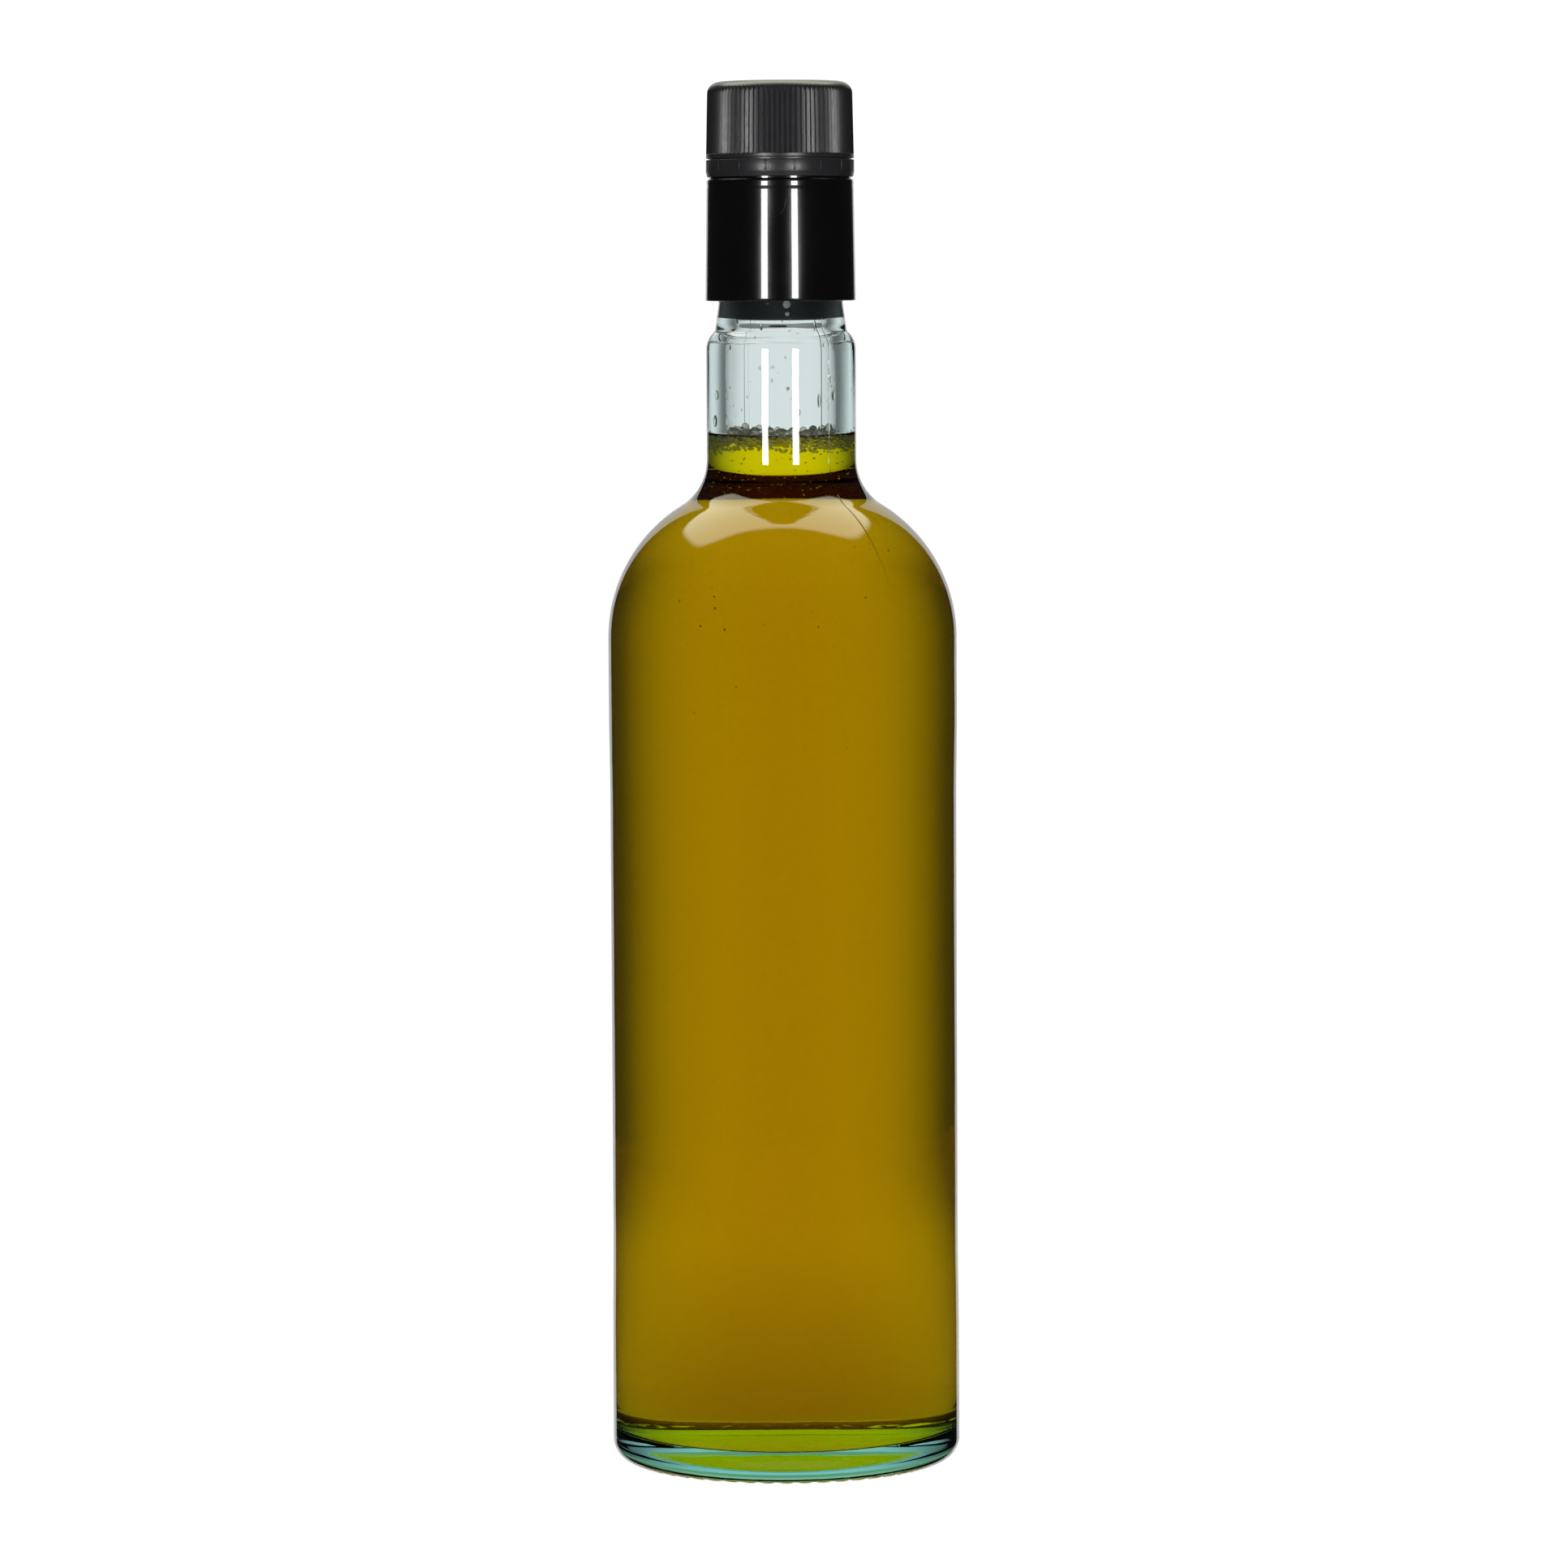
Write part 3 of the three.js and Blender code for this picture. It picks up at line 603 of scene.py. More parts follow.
# %% [markdown]
# The ring that the bottle stands on is scalloped, so that hot glass touches the belt only in
# spots. Every fourth column is lifted, which leaves 54 small lobes between. It is lifted most at
# its foot and less higher up, so that no ring of vertices climbs over the next. Each row below
# holds the lowest and the highest height of some vertices, and their share of the whole lift.

# %% Scallops under the base
SCALLOP_DEPTH = 0.7
SCALLOP_INNER_R = 29
SCALLOP_OUTER_R = 35.6
LIFTS = ((0.3, 0.7, 0.75), (-0.1, 0.3, 1.0))
column_step = 360 / GLASS_COLUMNS

edit(bottle_glass)
for low, high, share in LIFTS:
    def between_lobes(angle, r, z):
        column = round(angle / column_step) % COLUMNS_PER_SCALLOP
        return column == 0 and SCALLOP_INNER_R < r < SCALLOP_OUTER_R and low < z < high

    lifted = pick(bottle_glass, between_lobes)
    bpy.ops.transform.translate(value=(0, 0, SCALLOP_DEPTH * share * MM))
    print("lifted", lifted, "vertices between", SCALLOPS, "lobes")
bpy.ops.object.mode_set(mode="OBJECT")

# %% [markdown]
# The inside of a blown neck is where unevenness shows most, because air lies behind it. Broad
# waves are pressed into the inner wall alone, with a Displace modifier on a vertex group that
# fades in above the oil and out again below the valve cage. The modifier is then applied.

# %% Waves inside the neck
WAVE_DEPTH = 0.35
WAVES_LOW = 225
WAVES_HIGH = BORE_FOOT_Z - 1
FADE_IN = 6
FADE_OUT = 3
WAVE_LENGTH = 7

inner_wall = bottle_glass.vertex_groups.new(name="inner_wall")
waved = 0
for vertex in bottle_glass.data.vertices:
    x, y, z = vertex.co / MM
    inside = sqrt(x * x + y * y) < NECK_BORE_R + 0.6
    if inside and WAVES_LOW < z < WAVES_HIGH:
        weight = min(1, (z - WAVES_LOW) / FADE_IN, (WAVES_HIGH - z) / FADE_OUT)
        inner_wall.add([vertex.index], weight, "REPLACE")
        waved += 1
waves = bpy.data.textures.new("blown_waves", "CLOUDS")
waves.noise_scale = WAVE_LENGTH * MM
waves.noise_depth = 1
press = bottle_glass.modifiers.new("press_waves", "DISPLACE")
press.texture = waves
press.vertex_group = "inner_wall"
press.strength = WAVE_DEPTH * MM
press.mid_level = 0.5
choose(bottle_glass)
bpy.ops.object.modifier_apply(modifier=press.name)
print(waved, "points of the inner wall are waved")
install(bottle_glass, clear_glass, "bottle", "bottle_glass")

# %% [markdown]
# ## The oil
#
# Olive oil soaks up blue light at once, green more slowly and red slowest, so it is yellow in
# the thin neck and deep gold across the body. As with the glass, that is absorption in the
# volume. The oil wets the glass, and a gap between the two would act as a mirror, so the oil
# reaches a little way into the wall, and climbs it in a small meniscus at the top. The wetted
# glass already bends the light, so the oil's own surface bends it only at the top, in the air.

# %% Oil
WETTING = 0.12
OIL_TINT = (0.9647, 0.9337, 0.0)
OIL_DENSITY = 320.0


def oil_finish():
    oil = Finish("olive_oil", roughness=0.0, ior=OIL_IOR, transmission_weight=1.0)
    oil.set("Base Color", (1, 1, 1, 1))
    oil.bump(oil.noise(0.02, detail=1.0) * (0.05 * MM))
    oil.absorb(OIL_TINT, OIL_DENSITY)
    oil.where(oil.marked("wetting"), roughness=0.0, ior=1.0, transmission_weight=1.0)
    return oil.material


def oil_outline():
    wetted = [point for point in cavity(WETTING) if point[1] < FILL_Z - 0.3]
    edge_r = NECK_BORE_R + WETTING
    curl = arc(edge_r - MENISCUS, CONTACT_Z, MENISCUS, 0, -90, 6)
    return wetted + [(edge_r, FILL_Z + 0.2)] + curl + [(0, FILL_Z - MENISCUS_DIP)]


olive_oil = turned("olive_oil", oil_outline(), 144, 60)
mark_faces(olive_oil, "wetting", lambda r, z, upward: z < FILL_Z - 0.5 or upward < 0.05)
install(olive_oil, oil_finish(), "bottle", "oil_fill")

# %% [markdown]
# ## Black plastics
#
# The sleeve is moulded in a polished tool, so lamps show in it as crisp, slightly wavy bands
# with a soft glow round them. A clear coat over a duller black gives both at once. Handling has
# left hairline scratches, which are noise stretched along one direction and cut to a thin line.
# The cap and the band come from a spark-eroded tool: the same black, with a fine grain in it.

# %% Black finishes
SLEEVE_WAVES = 0.2 * MM
GRAIN_SIZE = 0.22 * MM
GRAIN_HEIGHT = 0.018 * MM


def hairlines(finish, size, stretch, width):
    """1 along the middle line of a stretched noise, and 0 elsewhere."""
    return 1 - finish.fade(abs(finish.noise(size, detail=0.0, stretch=stretch) - 0.5), 0.0, width)


def gloss_black_finish():
    coat = {"coat_weight": 1.0, "coat_roughness": 0.035}
    gloss = Finish("gloss_black", ior=1.5, specular_ior_level=0.3, **coat)
    cloud = gloss.noise(6 * MM, detail=3.0)
    darkest, palest = (0.0045, 0.0045, 0.005, 1), (0.0075, 0.0075, 0.0085, 1)
    gloss.set("Base Color", gloss.blend(cloud, darkest, palest))
    handled = gloss.fade(gloss.noise(9 * MM), 0.56, 0.62)
    scratches = hairlines(gloss, 4 * MM, (1, 1, 0.22), 0.006) * handled
    gloss.set("Roughness", 0.17 + 0.06 * cloud + 0.25 * scratches)
    waves = gloss.noise(13 * MM, detail=1.0, stretch=(1, 1, 0.8)) * SLEEVE_WAVES
    orange_peel = gloss.noise(0.9 * MM, detail=1.0) * (0.0012 * MM)
    gloss.bump(waves + orange_peel - scratches * (0.006 * MM))
    return gloss.material


def satin_black_finish():
    satin = Finish("satin_black", ior=1.5, specular_ior_level=0.85)
    cloud = satin.noise(3 * MM, detail=3.0)
    satin.set("Base Color", satin.blend(cloud, (0.026, 0.026, 0.029, 1), (0.045, 0.045, 0.05, 1)))
    satin.set("Roughness", 0.24 + 0.14 * satin.noise(1.2 * MM, detail=2.0))
    satin.bump(satin.noise(GRAIN_SIZE, detail=2.0) * GRAIN_HEIGHT)
    return satin.material


gloss_black = gloss_black_finish()
satin_black = satin_black_finish()
print("black finishes:", gloss_black.name, "and", satin_black.name)

# %% [markdown]
# ## Soft and natural plastics
#
# The spout, the disc valve and the guide are undyed polyethylene: milky, with light bleeding
# through them. The liner and the gasket are a soft foamed seal. The ball is plain glass.

# %% Pale finishes
def natural_finish():
    natural = Finish("natural_plastic", roughness=0.4, ior=1.5, subsurface_weight=0.35)
    natural.shader.inputs["Subsurface Scale"].default_value = 1.5 * MM
    cloud = natural.noise(2.5 * MM, detail=3.0)
    natural.set("Base Color", natural.blend(cloud, (0.66, 0.64, 0.56, 1), (0.76, 0.74, 0.67, 1)))
    natural.set("Roughness", 0.34 + 0.14 * cloud)
    natural.bump(natural.noise(0.5 * MM, detail=1.0) * (0.006 * MM))
    return natural.material


def seal_finish():
    seal = Finish("soft_seal", roughness=0.7, ior=1.45)
    inputs = {"Vector": seal.place(), "Scale": 1 / (0.35 * MM)}
    cells = seal.add("ShaderNodeTexVoronoi", inputs=inputs)
    seal.set("Base Color", seal.blend(cells, (0.72, 0.70, 0.64, 1), (0.84, 0.83, 0.79, 1)))
    seal.set("Roughness", 0.6 + 0.2 * cells)
    seal.bump(cells * (0.03 * MM))
    return seal.material


def ball_finish():
    ball = Finish("ball_glass", roughness=0.02, ior=GLASS_IOR, transmission_weight=1.0)
    ball.set("Base Color", (0.9, 0.97, 0.95, 1))
    ball.bump(ball.noise(2 * MM, detail=1.0) * (0.01 * MM))
    return ball.material


natural_plastic = natural_finish()
soft_seal = seal_finish()
ball_glass = ball_finish()
print("pale finishes:", natural_plastic.name, soft_seal.name, ball_glass.name)

# %% [markdown]
# ## The outer sleeve
#
# A cup without a bottom: a wall with a little draft, a rounded top edge, and a short top that
# reaches in over the fitment. A shallow waist below the top edge breaks the lamps' reflections
# there, and a low lip on the top stands up into the band, so that no light shows between them.
# Every outside edge has a small round, because no moulded edge is sharp and the rounds catch
# the light. Inside, eight snap teeth hold the sleeve under the glass bead. One tooth is an
# outline spun through part of a turn, with its two ends filled, and the rest are copies of it.

# %% Sleeve shell
SLEEVE_FOOT_Z, SLEEVE_TOP_Z, SLEEVE_FOOT_R = span("outer_sleeve")
SLEEVE_DRAFT = 0.39
SLEEVE_TOP_R = SLEEVE_FOOT_R - SLEEVE_DRAFT
SLEEVE_WALL = 1.27
SLEEVE_BORE_R = SLEEVE_TOP_R - SLEEVE_WALL
SLEEVE_ROUND = 0.5
EDGE_ROUND = 0.3
SMALL_ROUND = 0.2
SLEEVE_WAIST = 0.06
LIP_INNER_R = 14.7
LIP_OUTER_R = 15.4
LIP_HEIGHT = 0.55
GROOVE_PLAY = 0.2
SLEEVE_TOP_THICK = 1.2
SLEEVE_HOLE_R = 13.8
CLOSURE_COLUMNS = 160


def lip(z):
    """A low ring on a top face at z, from its outer side to its inner one."""
    return [
        (LIP_OUTER_R, z),
        (LIP_OUTER_R, z + LIP_HEIGHT - 0.1),
        (LIP_OUTER_R - 0.1, z + LIP_HEIGHT),
        (LIP_INNER_R, z + LIP_HEIGHT),
        (LIP_INNER_R, z),
    ]


def groove(z, depth):
    """The groove in a foot at z in which a lip stands, from its inner side to its outer one."""
    inner_r = LIP_INNER_R - GROOVE_PLAY
    outer_r = LIP_OUTER_R + GROOVE_PLAY
    return [(inner_r, z), (inner_r, z + depth), (outer_r, z + depth), (outer_r, z)]


def sleeve_wall(down, dip=0.0):
    """A point on the outside of the sleeve's wall, some way down from its top."""
    draft = SLEEVE_DRAFT * down / (SLEEVE_TOP_Z - SLEEVE_FOOT_Z)
    return (SLEEVE_TOP_R + draft - dip, SLEEVE_TOP_Z - down)


def sleeve_outline():
    top_z = SLEEVE_TOP_Z
    return closed(
        (SLEEVE_BORE_R + EDGE_ROUND, SLEEVE_FOOT_Z),
        *low_corner(SLEEVE_FOOT_R, SLEEVE_FOOT_Z, EDGE_ROUND, 4),
        sleeve_wall(2.5),
        sleeve_wall(2.0),
        sleeve_wall(1.55, SLEEVE_WAIST),
        sleeve_wall(1.1),
        *high_corner(SLEEVE_TOP_R, top_z, SLEEVE_ROUND, 8),
        *lip(top_z),
        *inner_corner(SLEEVE_HOLE_R, top_z, SMALL_ROUND, 3),
        (SLEEVE_HOLE_R, top_z - SLEEVE_TOP_THICK),
        (SLEEVE_BORE_R, top_z - SLEEVE_TOP_THICK),
        (SLEEVE_BORE_R, SLEEVE_FOOT_Z + 0.4),
    )


outer_sleeve = turned("sleeve", sleeve_outline(), CLOSURE_COLUMNS)

# %% Snap teeth
TOOTH_TOP_Z = GLASS_TOP_Z - 16.5
TOOTH_HEIGHT = 2.2
TOOTH_TIP_R = 13.4
TOOTH_TURN = 33
TEETH = 8


def snap_tooth():
    root_r = SLEEVE_BORE_R + 0.2
    foot_z = TOOTH_TOP_Z - TOOTH_HEIGHT
    hook = closed(
        (root_r, foot_z),
        (TOOTH_TIP_R + 0.3, foot_z + 1.0),
        (TOOTH_TIP_R, foot_z + 1.5),
        (TOOTH_TIP_R, TOOTH_TOP_Z - 0.2),
        (TOOTH_TIP_R + 0.2, TOOTH_TOP_Z),
        (root_r, TOOTH_TOP_Z),
    )
    tooth = draw_outline("snap_tooth", hook)
    bpy.ops.mesh.select_all(action="SELECT")
    bpy.ops.mesh.remove_doubles(threshold=1e-6)
    bpy.ops.mesh.select_all(action="SELECT")
    bpy.ops.mesh.spin(steps=10, angle=radians(TOOTH_TURN), center=(0, 0, 0), axis=(0, 0, 1))
    bpy.ops.mesh.select_all(action="SELECT")
    bpy.ops.mesh.fill_holes(sides=8)
    return finish_mesh(tooth, 30)


tooth_places = [Matrix.Rotation(2 * pi * i / TEETH, 4, "Z") for i in range(TEETH)]
weld_on(outer_sleeve, copies(snap_tooth(), "snap_teeth", tooth_places))
install(outer_sleeve, gloss_black, "bottle", "outer_sleeve")

# %% [markdown]
# ## A screw thread
#
# A thread is a small trapezium that travels round the axis and up at once. Spin can't climb, but
# the Screw modifier can. It is applied, its two open ends are filled, and the last few sections
# at each end are drawn back towards the wall, which is how a moulded thread runs out.

# %% Thread ridges
THREAD_PITCH = 4.0
THREAD_SECTIONS = 64
THREAD_HALF_FOOT = 0.75
THREAD_HALF_CREST = 0.45
RUN_OUT = 6


def thread(name, root_r, crest_r, start_turn, start_z, turns):
    ridge_section = closed(
        (root_r, start_z - THREAD_HALF_FOOT),
        (crest_r, start_z - THREAD_HALF_CREST),
        (crest_r, start_z + THREAD_HALF_CREST),
        (root_r, start_z + THREAD_HALF_FOOT),
    )
    piece = draw_outline(name, ridge_section)
    finish_mesh(piece)
    sections = round(THREAD_SECTIONS * turns)
    screw = piece.modifiers.new("climb", "SCREW")
    screw.angle = 2 * pi * turns
    screw.screw_offset = THREAD_PITCH * turns * MM
    screw.steps = screw.render_steps = sections
    bpy.ops.object.modifier_apply(modifier=screw.name)
    edit(piece)
    for i in range(RUN_OUT):
        share = (i + 0.1) / RUN_OUT
        for section in (i, sections - i):
            here = degrees(2 * pi * turns * section / sections) % 360
            height = start_z + THREAD_PITCH * turns * section / sections

            def on_crest(angle, r, z):
                aside = (angle - here + 180) % 360 - 180
                return abs(aside) < 1 and abs(z - height) < 1 and abs(r - crest_r) < 0.05

            pick(piece, on_crest)
            drawn = (root_r + (crest_r - root_r) * share) / crest_r
            bpy.ops.transform.resize(value=(drawn, drawn, 1), center_override=(0, 0, 0))
    bpy.ops.mesh.select_all(action="SELECT")
    bpy.ops.mesh.fill_holes(sides=4)
    finish_mesh(piece, 30)
    piece.data.transform(Matrix.Rotation(radians(start_turn), 4, "Z"))
    print(name, round(THREAD_PITCH * turns, 2), "mm high in", turns, "turns")
    return piece


# %% [markdown]
# ## The pour fitment
#
# The closure's core: a skirt that slips into the valve cage, a flange that the sleeve clamps on
# the glass lip, and the threaded neck. A small bead above the flange holds the tamper band.

# %% Fitment
FITMENT_FOOT_Z, POUR_NECK_TOP_Z, FLANGE_R = span("pour_fitment")
BAND_FOOT_Z, BAND_TOP_Z, BRIDGE_TIP_R = span("tamper_band")
CAP_FOOT_Z, CAP_TOP_Z, CAP_FOOT_R = span("screw_cap")
FLANGE_TOP_Z = SLEEVE_TOP_Z - SLEEVE_TOP_THICK - 0.3
FLANGE_Z = FLANGE_TOP_Z - 1.2
LEDGE_Z = FLANGE_TOP_Z - 0.5
POUR_NECK_R = 12.6
POUR_NECK_BORE_R = 11.2
THREAD_CREST_R = 13.5
SKIRT_R = 8.0
SKIRT_BORE_R = 6.9
THREAD_START_Z = CAP_FOOT_Z + 1.3
FITMENT_THREAD_TURN = 4


def fitment_outline():
    bead_z = BAND_FOOT_Z + 2.05
    return closed(
        (SKIRT_BORE_R, FITMENT_FOOT_Z),
        (SKIRT_R - 0.3, FITMENT_FOOT_Z),
        (SKIRT_R, FITMENT_FOOT_Z + 0.6),
        (SKIRT_R, FLANGE_Z),
        *low_corner(FLANGE_R, FLANGE_Z, SMALL_ROUND, 3),
        *high_corner(FLANGE_R, FLANGE_TOP_Z, SMALL_ROUND, 3),
        (POUR_NECK_R, FLANGE_TOP_Z),
        (POUR_NECK_R, bead_z - 0.6),
        (THREAD_CREST_R, bead_z - 0.15),
        (THREAD_CREST_R, bead_z + 0.15),
        (POUR_NECK_R, bead_z + 0.85),
        *high_corner(POUR_NECK_R, POUR_NECK_TOP_Z, 0.4, 5),
        (POUR_NECK_BORE_R + 0.2, POUR_NECK_TOP_Z),
        (POUR_NECK_BORE_R, POUR_NECK_TOP_Z - 0.2),
        (POUR_NECK_BORE_R, LEDGE_Z),
        (SKIRT_BORE_R, LEDGE_Z),
    )


pour_fitment = turned("fitment", fitment_outline(), CLOSURE_COLUMNS)
root_r = POUR_NECK_R - 0.1
outer_thread = thread(
    "outer_thread", root_r, THREAD_CREST_R, FITMENT_THREAD_TURN, THREAD_START_Z, 1.25
)
weld_on(pour_fitment, outer_thread)
install(pour_fitment, satin_black, "bottle", "pour_fitment")

# %% [markdown]
# ## The screw cap
#
# The cap is turned in 360 columns, four for each of its 90 knurls: a root, a flank, a crest and
# a flank. The turned cap is smooth. Then, ring by ring, the root columns are drawn in towards
# the axis. A root never goes deeper than one cylinder, so at the rounded top edge, where the cap
# itself curls in past that cylinder, the grooves run out by themselves in a zig-zag, as they do
# where a cutter leaves the work.

# %% Cap
KNURLS = 90
KNURL_DEPTH = 0.42
FLANK_SHARE = 0.46
KNURL_FOOT_Z = CAP_FOOT_Z + 0.9
CAP_BORE_R = THREAD_CREST_R + 0.4
CAP_DRAFT = 0.35
CAP_ROUND_IN = 2.9
CAP_ROUND_DOWN = 2.6
CAP_DISH_R = 12.0
CAP_DISH_DEPTH = 0.4
CAP_TOP_THICK = 1.9
ROUND_STEPS = 12
COLUMNS_PER_KNURL = 4
cap_columns = KNURLS * COLUMNS_PER_KNURL


def cap_crest(z):
    return CAP_FOOT_R - CAP_DRAFT * (z - CAP_FOOT_Z) / (CAP_TOP_Z - CAP_FOOT_Z)


def cap_edge():
    """The rounded top edge, a quarter of an ellipse."""
    start_z = CAP_TOP_Z - CAP_ROUND_DOWN
    points = []
    for i in range(ROUND_STEPS + 1):
        turn = pi / 2 * i / ROUND_STEPS
        r = cap_crest(start_z) - CAP_ROUND_IN * (1 - cos(turn))
        points.append((r, start_z + CAP_ROUND_DOWN * sin(turn)))
    return points


side_heights = (KNURL_FOOT_Z, KNURL_FOOT_Z + 0.12, KNURL_FOOT_Z + 6)
cap_side = [(cap_crest(z), z) for z in side_heights] + cap_edge()
cap_outline = [
    (0, CAP_TOP_Z - CAP_TOP_THICK),
    (CAP_BORE_R, CAP_TOP_Z - CAP_TOP_THICK),
    (CAP_BORE_R, CAP_FOOT_Z + 0.3),
    (CAP_BORE_R + 0.3, CAP_FOOT_Z),
    *groove(CAP_FOOT_Z, LIP_HEIGHT),
    *low_corner(CAP_FOOT_R, CAP_FOOT_Z, 0.18, 3),
    *cap_side,
    (CAP_DISH_R + 0.45, CAP_TOP_Z),
    *ease((CAP_DISH_R + 0.35, CAP_TOP_Z - 0.05), (CAP_DISH_R, CAP_TOP_Z - CAP_DISH_DEPTH), 3),
    *dome(CAP_DISH_R - 1, CAP_TOP_Z - CAP_DISH_DEPTH - 0.02, 0.1, 6)[::-1],
]
screw_cap = turned("cap", cap_outline, cap_columns, hold=False)

# %% Knurl
knurl_column = 360 / cap_columns


def draw_in(ring_r, ring_z, columns, target_r):
    """Moves some columns of one ring of the cap in to a radius."""
    if target_r < ring_r:
        def on_ring(angle, r, z):
            column = round(angle / knurl_column) % COLUMNS_PER_KNURL
            return column in columns and abs(z - ring_z) < 0.02 and abs(r - ring_r) < 0.02

        pick(screw_cap, on_ring)
        share = target_r / ring_r
        bpy.ops.transform.resize(value=(share, share, 1), center_override=(0, 0, 0))


edit(screw_cap)
for ring_r, ring_z in cap_side[1:]:
    draw_in(ring_r, ring_z, (0,), cap_crest(ring_z) - KNURL_DEPTH)
    draw_in(ring_r, ring_z, (1, 3), cap_crest(ring_z) - KNURL_DEPTH * FLANK_SHARE)
choose(screw_cap)
bpy.ops.object.shade_smooth_by_angle(angle=radians(32))

# %% Thread inside the cap
CAP_THREAD_TURN = 154
CAP_THREAD_CREST_R = 13.0
cap_thread_z = THREAD_START_Z - 1.8 + THREAD_PITCH * (CAP_THREAD_TURN - FITMENT_THREAD_TURN) / 360
inner_thread = thread(
    "inner_thread", CAP_BORE_R + 0.1, CAP_THREAD_CREST_R, CAP_THREAD_TURN, cap_thread_z, 1.0
)
weld_on(screw_cap, inner_thread)
install(screw_cap, satin_black, "cap", "screw_cap")

# %% [markdown]
# ## The tamper band
#
# A thin ring under the cap, with a bevel and a groove for the sleeve's lip at its foot, a lip of
# its own that stands in a groove of the cap, and a rib inside that snaps under the fitment's
# bead. Sixteen little bridges join it to the cap until the bottle is first opened. One bridge is
# a bevelled bar, and the rest are copies.

# %% Band
BRIDGES = 16
BAND_R = BRIDGE_TIP_R - 0.08
BAND_RIB_R = POUR_NECK_R + 0.3
GROOVE_DEPTH = 1.1


def band_outline():
    return closed(
        (BAND_RIB_R, BAND_FOOT_Z + 0.3),
        (CAP_BORE_R, BAND_FOOT_Z),
        *groove(BAND_FOOT_Z, GROOVE_DEPTH),
        (BAND_R - 0.3, BAND_FOOT_Z),
        (BAND_R - 0.22, BAND_FOOT_Z + 0.06),
        (BAND_R - 0.03, BAND_FOOT_Z + 1.0),
        (BAND_R, BAND_FOOT_Z + 1.15),
        *high_corner(BAND_R, BAND_TOP_Z, 0.15, 3),
        *lip(BAND_TOP_Z),
        (CAP_BORE_R, BAND_TOP_Z),
        (CAP_BORE_R, BAND_FOOT_Z + 1.3),
        (BAND_RIB_R, BAND_FOOT_Z + 1.1),
    )


def bridge():
    low, high = BAND_FOOT_Z + 1.2, BAND_TOP_Z
    deselect_all()
    bpy.ops.mesh.primitive_cube_add(size=MM)
    bar = bpy.context.object
    bpy.ops.object.mode_set(mode="EDIT")
    bpy.ops.transform.resize(value=(0.7, 0.5, high - low), center_override=(0, 0, 0))
    bpy.ops.transform.translate(value=((BRIDGE_TIP_R - 0.35) * MM, 0, (low + high) / 2 * MM))
    bpy.ops.mesh.bevel(offset=0.07 * MM, segments=2)
    return finish_mesh(bar, 30)


tamper_band = turned("band", band_outline(), CLOSURE_COLUMNS)
bridge_places = [Matrix.Rotation(2 * pi * (i + 0.5) / BRIDGES, 4, "Z") for i in range(BRIDGES)]
weld_on(tamper_band, copies(bridge(), "bridges", bridge_places))
install(tamper_band, satin_black, "band", "tamper_band")

# %% [markdown]
# ## Inside the closure
#
# These pieces hide under the cap or in the neck. Only the foot of the valve cage shows, through
# the glass. It is a press fit there, and oil wets the joint, so no air lies between plastic and
# glass, and the thick glass magnifies the black foot to the full width of the neck. The cage's
# foot therefore reaches a hair into the glass. All are turned from their outlines, with the
# small rounds that moulding leaves.

# %% Spout
SPOUT_FOOT_Z, SPOUT_TOP_Z, _ = span("drip_free_spout")
SPOUT_BORE_R = 7.0
SPOUT_LIP_R = 10.6
spout_base_r = POUR_NECK_BORE_R - 0.3
flare_z = SPOUT_TOP_Z - 3.6
spout_outline = closed(
    (SPOUT_BORE_R, SPOUT_FOOT_Z),
    (spout_base_r, SPOUT_FOOT_Z),
    (spout_base_r, SPOUT_FOOT_Z + 1.0),
    (spout_base_r - 0.2, SPOUT_FOOT_Z + 1.2),
    (SPOUT_BORE_R + 1.4, SPOUT_FOOT_Z + 1.6),
    (SPOUT_BORE_R + 1.1, SPOUT_FOOT_Z + 2.2),
    *ease((SPOUT_BORE_R + 1.1, flare_z), (SPOUT_LIP_R, SPOUT_TOP_Z - 0.6), 10),
    (SPOUT_LIP_R, SPOUT_TOP_Z),
    *ease((SPOUT_BORE_R, flare_z), (SPOUT_LIP_R - 0.4, SPOUT_TOP_Z), 10)[::-1],
)
drip_free_spout = turned("spout", spout_outline, CLOSURE_COLUMNS)
install(drip_free_spout, natural_plastic, "bottle", "drip_free_spout")

# %% Valve cage
CAGE_FOOT_Z, CAGE_TOP_Z, FIN_R = span("valve_cage")
CAGE_R = FIN_R - 0.3
CAGE_BORE_R = CAGE_R - 1.1
PRESS_R = MOUTH_BORE_R + 0.03
PRESS_TOP_Z = CAGE_FOOT_Z + 8
SEAT_HOLE_R = 4.2
SEAT_TOP_Z = CAGE_FOOT_Z + 1.5
FIN_PITCH = 2.8
fins = []
for i in (3, 2, 1):
    fin_z = CAGE_TOP_Z - FIN_PITCH * i
    fins += [(CAGE_R, fin_z), (FIN_R, fin_z + 0.2), (FIN_R, fin_z + 0.6), (CAGE_R, fin_z + 0.9)]
cage_outline = closed(
    (SEAT_HOLE_R, CAGE_FOOT_Z),
    *low_corner(PRESS_R, CAGE_FOOT_Z, 0.5, 5),
    (PRESS_R, PRESS_TOP_Z),
    (CAGE_R, PRESS_TOP_Z + 0.6),
    *fins,
    (CAGE_R, CAGE_TOP_Z - 0.2),
    (CAGE_R - 0.2, CAGE_TOP_Z),
    (CAGE_BORE_R, CAGE_TOP_Z),
    (CAGE_BORE_R, SEAT_TOP_Z),
    (SEAT_HOLE_R + 0.3, SEAT_TOP_Z),
    (SEAT_HOLE_R, SEAT_TOP_Z - 0.3),
)
valve_cage = turned("cage", cage_outline, CLOSURE_COLUMNS)
install(valve_cage, satin_black, "bottle", "valve_cage")

